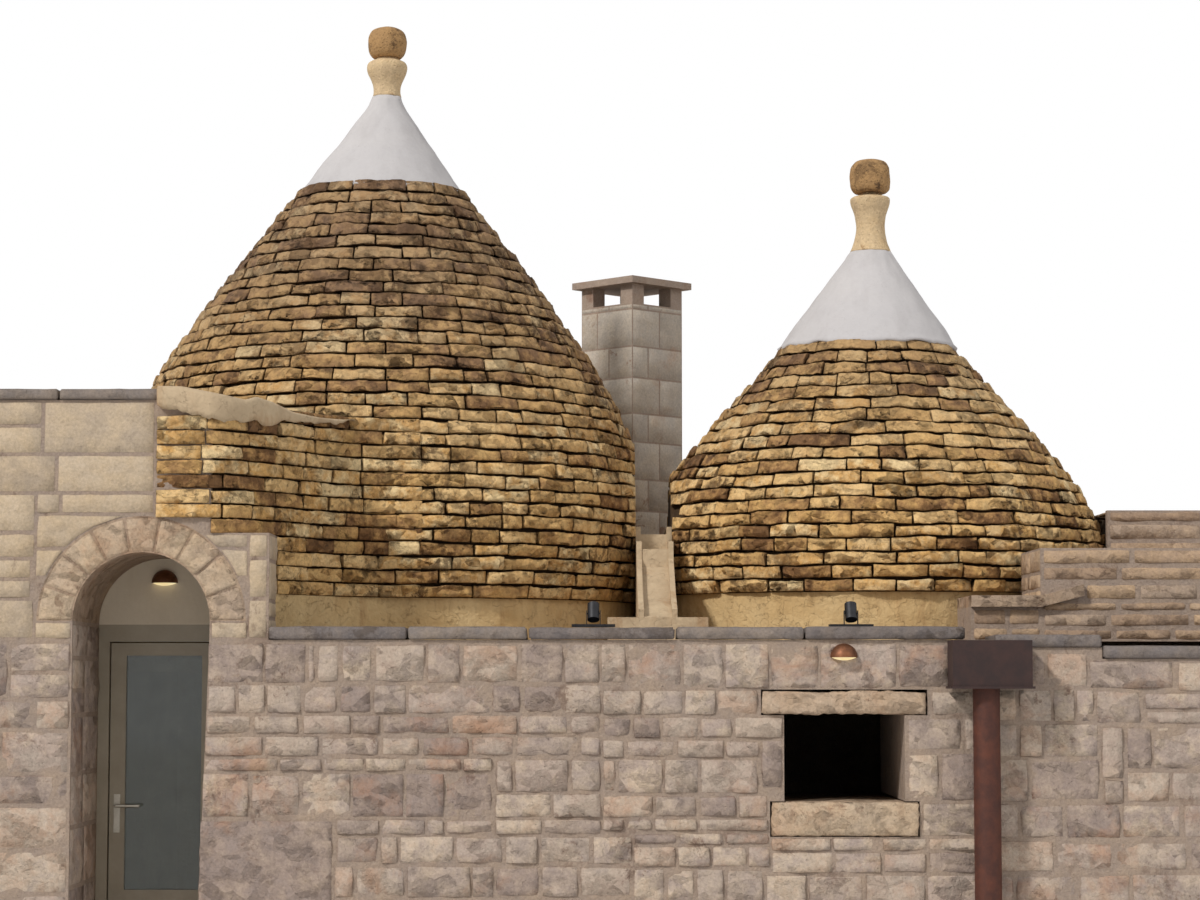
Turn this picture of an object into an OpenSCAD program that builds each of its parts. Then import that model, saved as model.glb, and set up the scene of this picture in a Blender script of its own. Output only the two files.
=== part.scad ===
// Trullo house: two corbelled dry-stone roofs over square rooms with thick limestone walls.
// Millimetres. +X to the right seen from the front, +Y to the back, +Z up, ground at zero.

/* [Plan] */
// Half the width of the left room
left_room_half_w = 1450; // [1300:10:1700]
// Half the width of the right room
right_room_half_w = 1110; // [1000:10:1300]
// Half the depth of the left room
left_room_half_d = 1450; // [1300:10:1700]
// Half the depth of the right room
right_room_half_d = 1300; // [1150:10:1500]
// Thickness of the front and the back wall at the left room
wall_t = 1150; // [950:10:1350]
// Thickness of the left end wall
left_end_t = 790; // [700:10:950]
// Thickness of the right end wall
right_end_t = 830; // [700:10:950]
// Thickness of the wall between the rooms
cross_wall_t = 460; // [400:10:540]
// Height of the walls and of the roof terrace
wall_h = 1960; // [1900:10:2300]
// Radius of the arch between the rooms
cross_arch_r = 750; // [600:10:900]
// Height of the masonry over the crown of the arch between the rooms
cross_crown = 260; // [200:10:400]
// Thickness of the stone floor
floor_t = 50; // [30:5:100]
// Thickness of the slabs across the corners of the rooms
corner_slab_t = 160; // [120:10:200]

/* [Stone roofs] */
// Height of one course of roof slabs
course_h = 78; // [60:1:90]
// Height of the plastered drum under the left roof
left_drum_h = 250; // [150:10:400]
// Height of the plastered drum under the right roof
right_drum_h = 290; // [150:10:400]
// How far the left drum stands in over its room
left_drum_in = 200; // [120:10:240]
// How far the right drum stands in over its room
right_drum_in = 50; // [20:10:120]
// How far the lowest course stands out over its drum
eave_out = 45; // [20:5:80]
// Courses in the left roof
left_courses = 33; // [20:1:40]
// Courses in the right roof
right_courses = 20; // [12:1:30]
// How far the left eave reaches past the side of its room
left_eave_over = 200; // [150:10:260]
// Radius of the left roof under its plastered tip
left_tip_r = 510; // [440:10:600]
// How much the left roof swells above its eave
left_swell = 850; // [400:20:1100]
// How fast the left roof narrows under its tip
left_fall = 1920; // [1500:20:2200]
// How far the right eave reaches past the front of its room
right_eave_over = 150; // [110:10:200]
// Radius of the right roof under its plastered tip
right_tip_r = 530; // [460:10:600]
// How much the right roof swells above its eave
right_swell = 450; // [200:20:500]
// How fast the right roof narrows under its tip
right_fall = 1230; // [1000:20:1500]
// Thickness of the left stone shell
left_shell_t = 420; // [300:10:440]
// Thickness of the right stone shell
right_shell_t = 400; // [300:10:420]
// Wedges round each ring of the stone shells
wedges = 12; // [8:4:16]

/* [Tips and pinnacles] */
// Height of the plastered left tip
left_tip_h = 600; // [400:10:700]
// Height of the plastered right tip
right_tip_h = 600; // [400:10:700]
// Height of the left pinnacle's neck
left_neck_h = 235; // [150:5:300]
// Height of the right pinnacle's neck
right_neck_h = 350; // [200:5:400]
// Radius of the flared top of the left neck
left_flare_r = 124; // [100:1:150]
// Radius of the flared top of the right neck
right_flare_r = 112; // [90:1:130]
// Radius of the left ball
left_ball_r = 113; // [90:1:140]
// Radius of the right ball
right_ball_r = 110; // [85:1:130]
// Height of the left ball
left_ball_h = 197; // [150:1:240]
// Height of the right ball
right_ball_h = 218; // [150:1:240]
// Radius of the short stem under the left ball
left_stem_r = 74; // [30:1:85]
// Radius of the short stem under the right ball
right_stem_r = 40; // [30:1:60]
// Height of the short stems
stem_h = 14; // [10:1:30]

/* [Doorway] */
// Width of the pier left of the door niche
pier_w = 830; // [810:5:950]
// Width of the door niche
niche_w = 720; // [680:5:800]
// Depth of the wall behind the door
passage_d = 350; // [300:10:420]
// Height of the arch's springing above the walls
arch_stilt = 100; // [60:10:150]
// Depth of the arch stones seen from the front
arch_ring_t = 190; // [120:5:220]
// How far the foot of the front wall leans into the niche
niche_lean = 60; // [20:5:80]
// Courses of roof slabs on the curved shoulder beside the door block
shoulder_courses = 13; // [9:1:16]
// Courses that the plain ashlar at the right of the block reaches up
quoin_courses = 4; // [4:1:6]
// How far the block over the door reaches past the right side of the niche
block_out = 310; // [260:5:360]
// How far each shoulder course stands back from the one below
shoulder_batter = 4; // [0:0.5:10]
// How far the back end of the shoulder lies behind the front of the left room
shoulder_back = 350; // [250:10:450]
// Turn round the left roof, right of its front, where the shoulder ends
merge_a = 6; // [0:1:15]
// Angle between the end of the shoulder and the left roof
merge_dip = 12; // [6:1:20]
// Reach of the shoulder's curve before it meets the left roof
merge_reach = 450; // [350:10:550]
// Thickness of the smooth plaster on top of the shoulder
shoulder_cap_t = 66; // [40:1:90]
// How far that plaster stops short of the left roof's middle
shoulder_cap_short = 60; // [20:10:200]
// Thickness of the coping on the block
block_coping_t = 60; // [40:5:80]
// How far the block's coping stops short of the niche's right side
block_coping_in = 270; // [200:10:340]
// How far copings stand out
coping_out = 25; // [10:1:40]

/* [Door] */
// Width of the door frame's posts
frame_w = 60; // [50:1:70]
// Depth of the door frame
frame_d = 70; // [65:1:90]
// Height of the frame's head
frame_head_h = 95; // [80:1:110]
// Clearance round the door leaf
leaf_gap = 6; // [5:0.5:8]
// Thickness of the door leaf
leaf_t = 50; // [40:1:56]
// Width of the leaf's upright members
stile_w = 85; // [70:1:100]
// Height of the leaf's top member
top_rail_h = 70; // [50:1:100]
// Height of the leaf's lock rail and bottom member
low_rail_h = 110; // [90:1:140]
// Height of the lower edge of the glass above the floor
glass_z = 600; // [500:10:700]
// Thickness of the glass
glass_t = 20; // [6:1:28]
// Thickness of the lower door panel
panel_t = 24; // [16:1:30]
// Height of the door handle
handle_z = 1060; // [950:10:1150]
// Length of the door lever
lever_l = 125; // [100:1:140]
// Radius of the lever
lever_r = 9; // [7:0.5:11]
// Distance from the leaf to the middle of the lever
lever_out = 45; // [35:1:60]
// Height of the plates behind the handle
plate_h = 210; // [150:5:240]
// Width of the plates behind the handle
plate_w = 34; // [28:1:45]
// Thickness of the plates behind the handle
plate_t = 5; // [3:0.5:8]
// Radius of a hinge knuckle
knuckle_r = 8; // [6:0.5:10]
// Length of one hinge knuckle
knuckle_l = 50; // [40:1:70]

/* [Window] */
// How far the window's middle lies left of the right roof's middle
window_off = 381; // [330:1:430]
// Width of the window
window_w = 632; // [560:1:720]
// How far the window's head lies below the top of the walls
head_drop = 394; // [340:1:460]
// Height of the window
window_h = 448; // [400:1:520]
// Thickness of the sill stone
sill_t = 185; // [120:1:220]
// Height of the lintel stone
lintel_t = 134; // [100:1:200]
// How far the lintel reaches past the window on each side
lintel_ear = 120; // [60:1:150]
// How far the sill reaches past the window on each side
sill_ear = 75; // [50:1:120]
// How far lintel and sill stand out of the wall
stone_out = 18; // [10:1:30]

/* [Front coping] */
// Thickness of the front coping
coping_t = 70; // [50:1:90]
// Depth of the front coping
coping_d = 420; // [300:10:500]
// How far the water outlet's left side lies right of the right roof's middle
outlet_off = 258; // [220:1:300]
// Width of the water outlet in the coping
outlet_w = 148; // [120:1:180]
// How much lower the coping right of the outlet lies
coping_drop = 40; // [20:1:60]
// Length of the coping right of the outlet
right_coping_l = 569; // [480:1:660]
// How much lower still the end of the front wall is
end_drop = 60; // [30:1:90]

/* [Right side walls] */
// Length of the stepped-back wall from the right end of the house
upper_l = 1190; // [1100:5:1280]
// How far the stepped-back wall lies behind the front
upper_set = 600; // [520:10:680]
// Height of the stepped-back wall
upper_h = 510; // [400:10:600]
// Thickness of the high side wall
parapet_t = 570; // [480:5:640]
// How far the front of the high side wall lies in front of the rooms' middle
parapet_front = 600; // [500:10:700]
// Height of the high side wall
parapet_h = 800; // [700:10:900]
// Length of the ledge left of the stepped-back wall
ledge_l = 385; // [330:5:440]
// Length of the ledge in front of the stepped-back wall
ledge_lap = 230; // [190:5:270]
// Height of the low end of the ledge above the terrace
ledge_h = 250; // [210:5:290]
// Rise of the ledge to its right end
ledge_rise = 60; // [0:5:70]
// Thickness of the ledge
ledge_t = 62; // [50:1:80]
// How far the ledge stands out
ledge_out = 45; // [20:1:70]

/* [Valley gutter] */
// Width of the gutter between the roofs
gutter_w = 215; // [180:5:240]
// Height of the gutter's crest above the terrace
gutter_h = 700; // [600:10:800]
// Depth of the gutter's channel
channel_d = 45; // [30:1:60]
// Width of the cheeks beside the channel
cheek_w = 30; // [20:1:40]
// Distance from the crest's middle to the front lip of the gutter
gutter_front = 1850; // [1750:10:1950]
// Length of the gutter's apron on the terrace
apron_l = 500; // [400:10:600]
// How far the apron reaches past the gutter on each side
apron_out = 170; // [120:5:220]
// Height of the apron above the terrace
apron_h = 180; // [140:5:220]

/* [Chimney] */
// How far the chimney's middle lies left of the gutter's middle
chimney_off = 104; // [80:1:130]
// How far the chimney's middle lies behind the right room
chimney_back = 300; // [260:5:400]
// Side of the square chimney shaft
chimney_w = 480; // [400:5:500]
// Height of the top of the chimney shaft
chimney_h = 4260; // [4000:10:4400]
// Thickness of the shaft's walls
chimney_wall = 90; // [60:5:110]
// Height of the corner posts under the cap
post_h = 130; // [100:5:180]
// Side of a corner post
post_w = 110; // [80:5:120]
// Side of the square cap
cap_w = 573; // [520:1:620]
// Thickness of the cap at its edge
cap_t = 45; // [35:1:60]
// Height of the low pyramid on the cap
cap_rise = 40; // [20:1:60]

/* [Rain water] */
// How far the hopper reaches left of the water outlet
hopper_off = 98; // [80:1:120]
// Width of the hopper
hopper_w = 410; // [380:1:430]
// Height of the hopper
hopper_h = 250; // [200:1:280]
// Depth of the hopper
hopper_d = 230; // [200:1:260]
// How far the top edge of the hopper lies below the outlet
hopper_drop = 5; // [2:1:40]
// Thickness of the steel sheet
sheet_t = 4; // [3:0.5:6]
// Outer radius of the downpipe
pipe_r = 70; // [60:1:80]
// How far the downpipe's middle lies right of the outlet's left side
pipe_off = 87; // [70:1:105]
// How far the lip under the hopper stands out
lip_out = 12; // [8:1:20]

/* [Lamps] */
// Radius of the dome of a wall lamp
lamp_r = 73; // [60:1:80]
// Thickness of a lamp's cover
lamp_wall = 3; // [2:0.5:5]
// How far the window lamp's lower edge lies below the top of the wall
window_lamp_drop = 92; // [78:1:120]
// How far the door lamp's lower edge lies above the arch's springing
door_lamp_rise = 225; // [190:1:240]
// Width of a spotlight's base plate
spot_base_w = 230; // [180:5:260]
// Depth of a spotlight's base plate
spot_base_d = 110; // [90:5:130]
// Thickness of a spotlight's base plate
spot_base_t = 14; // [10:1:20]
// How far the left spotlight lies left of the wall between the rooms
spot_left_off = 125; // [80:1:170]
// How far the right spotlight lies left of the right roof's middle
spot_right_off = 330; // [290:1:370]
// Radius of a spotlight's head
spot_r = 32; // [25:1:38]
// Length of a spotlight's head
spot_l = 95; // [80:1:120]
// Lean of a spotlight's head from upright at rest
spot_lean = 28; // [0:1:45]
// Height of a spotlight's pivot above its base plate
spot_pivot_h = 57; // [56:1:65]

/* [Hidden] */
// Overrun of cuts through a face
over = 10;
// Width of a dry joint between curved stones
bed = 0.3;
// Faces on a full circle
$fn = 96;
// Faces on a circle that another surface runs into at a shallow angle
fine_faces = 720;
// Turn of the joints between wedges, so that they meet the corners of the rooms
joint_a = 45;
// Shares of a shell's courses at which its rings start and end
left_ring_shares = [0, 0.4, 0.6, 0.8, 1];
right_ring_shares = [0, 0.35, 0.65, 1];

diagonal_share = sqrt(2);

half_w = (left_end_t + 2 * left_room_half_w + cross_wall_t + 2 * right_room_half_w + right_end_t) / 2;
half_d = left_room_half_d + wall_t;
left_room_x0 = -half_w + left_end_t;
left_room_x1 = left_room_x0 + 2 * left_room_half_w;
right_room_x0 = left_room_x1 + cross_wall_t;
right_room_x1 = right_room_x0 + 2 * right_room_half_w;
left_x = left_room_x0 + left_room_half_w;
right_x = right_room_x0 + right_room_half_w;

left_drum_r = left_room_half_w - left_drum_in;
left_eave_r = left_room_half_w + left_eave_over;
right_drum_r = right_room_half_w - right_drum_in;
right_eave_r = right_room_half_d + right_eave_over;
left_z = wall_h + left_drum_h;
right_z = wall_h + right_drum_h;
left_top = left_z + left_courses * course_h;
right_top = right_z + right_courses * course_h;
block_h = left_z + shoulder_courses * course_h;
quoin_top = left_z + quoin_courses * course_h;
corner_slab_z = wall_h - corner_slab_t;
cross_arch_spring = wall_h - cross_crown - cross_arch_r;

door_y = -left_room_half_d - passage_d;
door_back_y = door_y + frame_d;
niche_x0 = -half_w + pier_w;
niche_x1 = niche_x0 + niche_w;
arch_r = niche_w / 2;
arch_x = niche_x0 + arch_r;
arch_spring_z = wall_h + arch_stilt;
block_x1 = niche_x1 + block_out;
block_coping_x1 = niche_x1 - block_coping_in;
shoulder_steps = 12;

leaf_x0 = niche_x0 + frame_w + leaf_gap;
leaf_x1 = niche_x1 - frame_w - leaf_gap;
leaf_z0 = floor_t + leaf_gap;
frame_head_z = wall_h;
leaf_z1 = frame_head_z - leaf_gap;
leaf_y1 = door_back_y;
leaf_y0 = leaf_y1 - leaf_t;
hinge_x = leaf_x1 + leaf_gap / 2;
hinge_y = leaf_y1 + knuckle_r;
hinge_shares = [0.12, 0.5, 0.88];
hinge_zs = [for (share = hinge_shares) leaf_z0 + share * (leaf_z1 - leaf_z0)];
flap_w = 28;
flap_t = 2;
handle_x = leaf_x0 + stile_w / 2;
plate_shares = [0.7, 0.3];
spindle_r = 5;
spindle_clear = 0.5;

window_x0 = right_x - window_off - window_w / 2;
window_x1 = window_x0 + window_w;
head_z = wall_h - head_drop;
sill_z = head_z - window_h;
lintel_x0 = window_x0 - lintel_ear;
lintel_x1 = window_x1 + lintel_ear;
sill_x0 = window_x0 - sill_ear;
sill_x1 = window_x1 + sill_ear;
lintel_top = head_z + lintel_t;

outlet_x0 = right_x + outlet_off;
outlet_x1 = outlet_x0 + outlet_w;
right_coping_x1 = outlet_x1 + right_coping_l;
right_wall_h = wall_h - coping_drop;
end_wall_h = right_wall_h - end_drop;

upper_x0 = half_w - upper_l;
upper_y0 = -half_d + upper_set;
parapet_x0 = half_w - parapet_t;
parapet_y0 = -parapet_front;
ledge_x0 = upper_x0 - ledge_l;
ledge_x1 = upper_x0 + ledge_lap;
ledge_top = wall_h + ledge_h;

gutter_x = (left_room_x1 + right_room_x0) / 2;
gutter_x0 = gutter_x - gutter_w / 2;
gutter_x1 = gutter_x + gutter_w / 2;
chimney_x = gutter_x - chimney_off;
chimney_y = right_room_half_d + chimney_back;
gutter_back = chimney_y - chimney_w / diagonal_share - bed;

hopper_x0 = outlet_x0 - hopper_off;
hopper_y1 = -half_d - coping_out;
hopper_y0 = hopper_y1 - hopper_d;
hopper_top = wall_h - hopper_drop;
hopper_z0 = hopper_top - hopper_h;
lip_t = 3 * sheet_t;
pipe_x = outlet_x0 + pipe_off;
pipe_y = hopper_y1 - hopper_d / 2;

window_lamp_x = window_x0 + window_w / 2;
window_lamp_z = wall_h - window_lamp_drop;
door_lamp_z = arch_spring_z + door_lamp_rise;
spot_left_x = left_room_x1 - spot_left_off;
spot_right_x = right_x - spot_right_off;
spot_in_share = 1 / 3;
spot_y = -half_d + spot_in_share * coping_d;
spot_z = wall_h + coping_t + spot_base_t + spot_pivot_h;
spot_below_share = 0.4;
spot_lens_share = 0.12;
ear_t = 4;
ear_gap = 2;
pin_r = 4;
pin_clear = 0.3;

// Radius of a roof at a share of its height, swelling above the eave
function roof_r(share, eave_r, tip_r, swell, fall) =
    let (s2 = share * share, s3 = s2 * share)
    eave_r * (1 - 3 * s2 + 2 * s3) + swell * (share - 2 * s2 + s3)
    + tip_r * (3 * s2 - 2 * s3) - fall * (s3 - s2);

function left_r(i) = roof_r(i / left_courses, left_eave_r, left_tip_r, left_swell, left_fall);
function right_r(i) =
    roof_r(i / right_courses, right_eave_r, right_tip_r, right_swell, right_fall);

left_radii = [for (i = [0 : left_courses - 1]) left_r(i)];
right_radii = [for (i = [0 : right_courses - 1]) right_r(i)];

// Stepped outline of a ring of corbelled courses: up the outside, then down the inside
function ring_points(radii, shell_t) =
    let (top = len(radii) - 1)
    concat(
        [for (i = [0 : top]) each [
            [radii[i], i * course_h], [radii[i], (i + 1) * course_h - (i == top ? bed : 0)]
        ]],
        [for (i = [top : -1 : 0]) each [
            [radii[i] - shell_t, (i + 1) * course_h - (i == top ? bed : 0)],
            [radii[i] - shell_t, i * course_h]
        ]]
    );

// A box from one corner to the other
module block(low, high) {
    translate(low)
        cube(high - low);
}

// A shape drawn in X and Z, pushed back from y0 to y1
module pushed_back(y0, y1) {
    translate([0, y1, 0])
        rotate([90, 0, 0])
            linear_extrude(height = y1 - y0)
                children();
}

module front_wall_left() {
    color("#c9b7a0") {
        difference() {
            union() {
                pushed_back(-half_d, door_y)
                    polygon([
                        [niche_x1 - niche_lean, 0], [window_x0, 0], [window_x0, wall_h],
                        [niche_x1, wall_h]
                    ]);
                block([niche_x1, door_y, 0], [left_room_x1, -left_room_half_d, wall_h]);
                block([left_room_x1, door_y, 0], [window_x0, -right_room_half_d, wall_h]);
            }
            block([lintel_x0, -half_d - over, head_z], [window_x0 + over, over, wall_h + over]);
            block([sill_x0, -half_d - over, sill_z - sill_t], [window_x0 + over, over, sill_z]);
        }
    }
}

module front_wall_right() {
    color("#c9b7a0") {
        difference() {
            pushed_back(-half_d, -right_room_half_d)
                polygon([
                    [window_x1, 0], [half_w, 0], [half_w, end_wall_h],
                    [right_coping_x1, end_wall_h], [right_coping_x1, right_wall_h],
                    [outlet_x1, right_wall_h], [outlet_x1, wall_h], [window_x1, wall_h]
                ]);
            block([window_x1 - over, -half_d - over, head_z], [lintel_x1, over, wall_h + over]);
            block([window_x1 - over, -half_d - over, sill_z - sill_t], [sill_x1, over, sill_z]);
        }
    }
}

module window_walls() {
    color("#c9b7a0") {
        block([window_x0, -half_d, 0], [window_x1, -right_room_half_d, sill_z - sill_t]);
        block([lintel_x0, -half_d, lintel_top], [lintel_x1, -right_room_half_d, wall_h]);
    }
}

module window_lintel() {
    color("#d6c3a4")
        block([lintel_x0, -half_d - stone_out, head_z], [lintel_x1, -right_room_half_d, lintel_top]);
}

module window_sill() {
    color("#d6c3a4")
        block([sill_x0, -half_d - stone_out, sill_z - sill_t], [sill_x1, -right_room_half_d, sill_z]);
}

// Coping slabs, parted by the water outlet and stepping down to the right
module front_coping() {
    color("#8f8d8c") {
        block([block_x1, -half_d - coping_out, wall_h],
              [outlet_x0, -half_d + coping_d, wall_h + coping_t]);
        block([outlet_x1, -half_d - coping_out, right_wall_h],
              [right_coping_x1, -half_d + coping_d, right_wall_h + coping_t]);
        block([right_coping_x1, -half_d - coping_out, end_wall_h],
              [half_w, -half_d + coping_d, end_wall_h + coping_t]);
    }
}

module door_pier() {
    color("#cdb899")
        block([-half_w, -half_d, 0], [niche_x0, -left_room_half_d, wall_h]);
}

// Upper half of a disc, standing on the springing of the niche's arch
module half_disc(r) {
    translate([arch_x, arch_spring_z])
        intersection() {
            circle(r = r);
            translate([-r - over, 0])
                square([2 * (r + over), r + over]);
        }
}

// The block over the door stands on the pier and on the left end of the front wall
module door_block() {
    color("#cdb899") {
        difference() {
            union() {
                block([-half_w, -half_d, wall_h], [niche_x0, door_back_y, block_h]);
                block([niche_x0 - over, -half_d, wall_h], [niche_x1, door_y, block_h]);
                block([niche_x1 - over, -half_d, wall_h], [block_x1, door_y, quoin_top]);
            }
            pushed_back(-half_d - over, door_y + over) {
                translate([niche_x0, wall_h - over])
                    square([2 * arch_r, arch_spring_z - wall_h + 2 * over]);
                half_disc(arch_r + arch_ring_t + bed);
            }
        }
    }
}

module door_arch() {
    color("#e0cda8") {
        pushed_back(-half_d, door_y)
            difference() {
                half_disc(arch_r + arch_ring_t);
                half_disc(arch_r);
                translate([arch_x - arch_r, arch_spring_z - over])
                    square([2 * arch_r, 2 * over]);
            }
    }
}

module door_tympanum() {
    color("#efe3c8")
        block([niche_x0, door_y, frame_head_z + frame_head_h], [niche_x1, door_back_y, block_h]);
}

module door_block_coping() {
    color("#8f8d8c")
        block([-half_w, -half_d - coping_out, block_h],
              [block_coping_x1, door_y, block_h + block_coping_t]);
}

module door_threshold() {
    color("#b8a88f")
        block([niche_x0, -half_d, 0], [niche_x1 - niche_lean, -left_room_half_d, floor_t]);
}

module door_frame() {
    color("#b9ad9a") {
        block([niche_x0, door_y, floor_t], [niche_x0 + frame_w, door_back_y, frame_head_z]);
        block([niche_x1 - frame_w, door_y, floor_t], [niche_x1, door_back_y, frame_head_z]);
        block([niche_x0, door_y, frame_head_z],
              [niche_x1, door_back_y, frame_head_z + frame_head_h]);
    }
}

module door_leaf() {
    color("#b9ad9a") {
        difference() {
            block([leaf_x0, leaf_y0, leaf_z0], [leaf_x1, leaf_y1, leaf_z1]);
            block([leaf_x0 + stile_w, leaf_y0 - over, glass_z],
                  [leaf_x1 - stile_w, leaf_y1 + over, leaf_z1 - top_rail_h]);
            block([leaf_x0 + stile_w, leaf_y0 - over, leaf_z0 + low_rail_h],
                  [leaf_x1 - stile_w, leaf_y1 + over, glass_z - low_rail_h]);
            translate([handle_x, leaf_y1 + over, handle_z])
                rotate([90, 0, 0])
                    cylinder(r = spindle_r + spindle_clear, h = leaf_t + 2 * over);
        }
    }
}

module door_glass() {
    color("#cfd8d6", 0.4)
        block([leaf_x0 + stile_w, leaf_y0 + (leaf_t - glass_t) / 2, glass_z],
              [leaf_x1 - stile_w, leaf_y0 + (leaf_t + glass_t) / 2, leaf_z1 - top_rail_h]);
}

module door_panel() {
    color("#b9ad9a")
        block([leaf_x0 + stile_w, leaf_y0 + (leaf_t - panel_t) / 2, leaf_z0 + low_rail_h],
              [leaf_x1 - stile_w, leaf_y0 + (leaf_t + panel_t) / 2, glass_z - low_rail_h]);
}

// One plate on each face of the leaf, with the keyhole under the spindle
module handle_plates() {
    color("#a8a49b") {
        for (y = [leaf_y0 - plate_t, leaf_y1]) {
            difference() {
                block([handle_x - plate_w / 2, y, handle_z - plate_shares[0] * plate_h],
                      [handle_x + plate_w / 2, y + plate_t, handle_z + plate_shares[1] * plate_h]);
                translate([handle_x, y + plate_t + over, handle_z])
                    rotate([90, 0, 0])
                        cylinder(r = spindle_r + spindle_clear, h = plate_t + 2 * over);
            }
        }
    }
}

// Two levers on one spindle that runs through the leaf
module door_handle() {
    out_y = leaf_y0 - lever_out;
    in_y = leaf_y1 + lever_out;
    color("#a8a49b") {
        translate([handle_x, in_y, handle_z])
            rotate([90, 0, 0])
                cylinder(r = spindle_r, h = in_y - out_y);
        for (y = [out_y, in_y]) {
            translate([handle_x, y, handle_z]) {
                sphere(r = lever_r);
                rotate([0, 90, 0])
                    cylinder(r = lever_r, h = lever_l);
                translate([lever_l, 0, 0])
                    sphere(r = lever_r);
            }
        }
    }
}

// A knuckle with its flap: the frame's half below, the leaf's half above
module knuckle(z, side) {
    translate([hinge_x, hinge_y, z])
        cylinder(r = knuckle_r - bed, h = knuckle_l - bed);
    block([min(hinge_x, hinge_x + side * flap_w), leaf_y1, z],
          [max(hinge_x, hinge_x + side * flap_w), leaf_y1 + flap_t, z + knuckle_l - bed]);
}

module hinge_posts() {
    color("#a8a49b")
        for (z = hinge_zs)
            knuckle(z - knuckle_l, 1);
}

module hinge_leaves() {
    color("#a8a49b")
        for (z = hinge_zs)
            knuckle(z, -1);
}

// Curved masonry that carries the roof slabs from the block over the door to the left cone
function bezier(a, b, c, d, t) =
    pow(1 - t, 3) * a + 3 * pow(1 - t, 2) * t * b + 3 * (1 - t) * t * t * c + pow(t, 3) * d;

// Front outline of a shoulder course, sweeping from the block back onto the cone
function shoulder_sweep(front_y, cone_r) =
    let (
        end = [left_x + cone_r * sin(merge_a), -cone_r * cos(merge_a)],
        way = [cos(merge_a + merge_dip), sin(merge_a + merge_dip)]
    )
    [for (k = [0 : shoulder_steps])
        bezier([niche_x1, front_y], [block_x1, front_y], end - merge_reach * way, end,
               k / shoulder_steps)];

// Plan of one course: the higher it lies, the further its front stands back
module shoulder_course(front_y, cone_r, h) {
    linear_extrude(height = h)
        difference() {
            polygon(concat(
                [
                    [-half_w, -left_room_half_d + shoulder_back], [-half_w, door_back_y],
                    [niche_x1, door_back_y]
                ],
                shoulder_sweep(front_y, cone_r),
                [[left_x, -cone_r / 2], [left_x - cone_r / 2, -cone_r / 4]]
            ));
            translate([left_x, 0])
                circle(r = cone_r + bed, $fn = fine_faces);
        }
}

// The block over the door takes the place of the lower courses
module beside_door_block(top_z) {
    difference() {
        children();
        block([-half_w - over, -half_d - over, wall_h - over], [block_x1, door_y, top_z]);
    }
}

// Plastered foot of the shoulder, level with the drum and standing over the coping
module shoulder_foot() {
    color("#eddcb4")
        difference() {
            beside_door_block(quoin_top)
                translate([0, 0, wall_h])
                    shoulder_course(-half_d, left_eave_r - eave_out, left_drum_h);
            block([block_x1 - over, -half_d - coping_out, wall_h - over],
                  [half_w, -half_d + coping_d, wall_h + coping_t]);
        }
}

// Slab courses of the shoulder share their beds with the courses of the left cone
module shoulder_roof() {
    color("#c9ab7c")
        beside_door_block(quoin_top)
            for (i = [0 : shoulder_courses - 1])
                translate([0, 0, left_z + i * course_h])
                    shoulder_course(-half_d + shoulder_batter * i, left_radii[i], course_h);
}

module shoulder_cap() {
    color("#d8cbb4")
        translate([0, 0, block_h])
            intersection() {
                shoulder_course(-half_d + shoulder_batter * shoulder_courses,
                                left_radii[shoulder_courses], shoulder_cap_t);
                block([block_coping_x1, -half_d, -over],
                      [left_x - shoulder_cap_short, half_d, shoulder_cap_t + over]);
            }
}

module end_walls() {
    color("#c9b7a0") {
        block([-half_w, -left_room_half_d, 0], [left_room_x0, left_room_half_d, wall_h]);
        block([right_room_x1, -right_room_half_d, 0], [half_w, right_room_half_d, wall_h]);
    }
}

module back_wall() {
    color("#c9b7a0") {
        block([-half_w, left_room_half_d, 0], [left_room_x1, half_d, wall_h]);
        block([left_room_x1, right_room_half_d, 0], [half_w, half_d, wall_h]);
    }
}

// Wall between the rooms, opened by the arch that carries both roofs
module cross_wall() {
    color("#e6dcc6") {
        difference() {
            block([left_room_x1, -right_room_half_d, 0], [right_room_x0, right_room_half_d, wall_h]);
            translate([left_room_x1 - over, 0, cross_arch_spring])
                rotate([0, 90, 0])
                    cylinder(r = cross_arch_r, h = cross_wall_t + 2 * over);
            block([left_room_x1 - over, -cross_arch_r, -over],
                  [right_room_x0 + over, cross_arch_r, cross_arch_spring]);
        }
    }
}

module room_floors() {
    color("#cbbfa6") {
        block([left_room_x0, -left_room_half_d, 0], [left_room_x1, left_room_half_d, floor_t]);
        block([right_room_x0, -right_room_half_d, 0],
              [right_room_x1, right_room_half_d, floor_t]);
    }
}

// Slabs laid across the corners of a square room, on which the round drum stands
module corner_slab(half_room_w, half_room_d, drum_r) {
    leg = half_room_w + half_room_d - drum_r * diagonal_share;
    translate([half_room_w, half_room_d])
        polygon([[0, 0], [-leg, 0], [0, -leg]]);
}

module corner_slab_set(half_room_w, half_room_d, drum_r) {
    for (side_x = [0, 1], side_y = [0, 1])
        mirror([side_x, 0])
            mirror([0, side_y])
                corner_slab(half_room_w, half_room_d, drum_r);
}

module corner_slabs() {
    swing_x = niche_x1 + frame_w;
    swing_y = hinge_y + (leaf_x1 - leaf_x0) + 2 * leaf_t;
    color("#ddd2b8")
        translate([0, 0, corner_slab_z])
            linear_extrude(height = corner_slab_t) {
                difference() {
                    translate([left_x, 0])
                        corner_slab_set(left_room_half_w, left_room_half_d, left_drum_r);
                    translate([left_room_x0 - over, -left_room_half_d - over])
                        square([swing_x - left_room_x0 + over, swing_y + left_room_half_d + over]);
                }
                translate([right_x, 0])
                    corner_slab_set(right_room_half_w, right_room_half_d, right_drum_r);
            }
}

// A ring of the left roof, flattened where the gutter runs
module left_side_of_gutter() {
    intersection() {
        children();
        block([-half_w, -half_d, 0], [gutter_x0, half_d, left_top + over]);
    }
}

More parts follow.
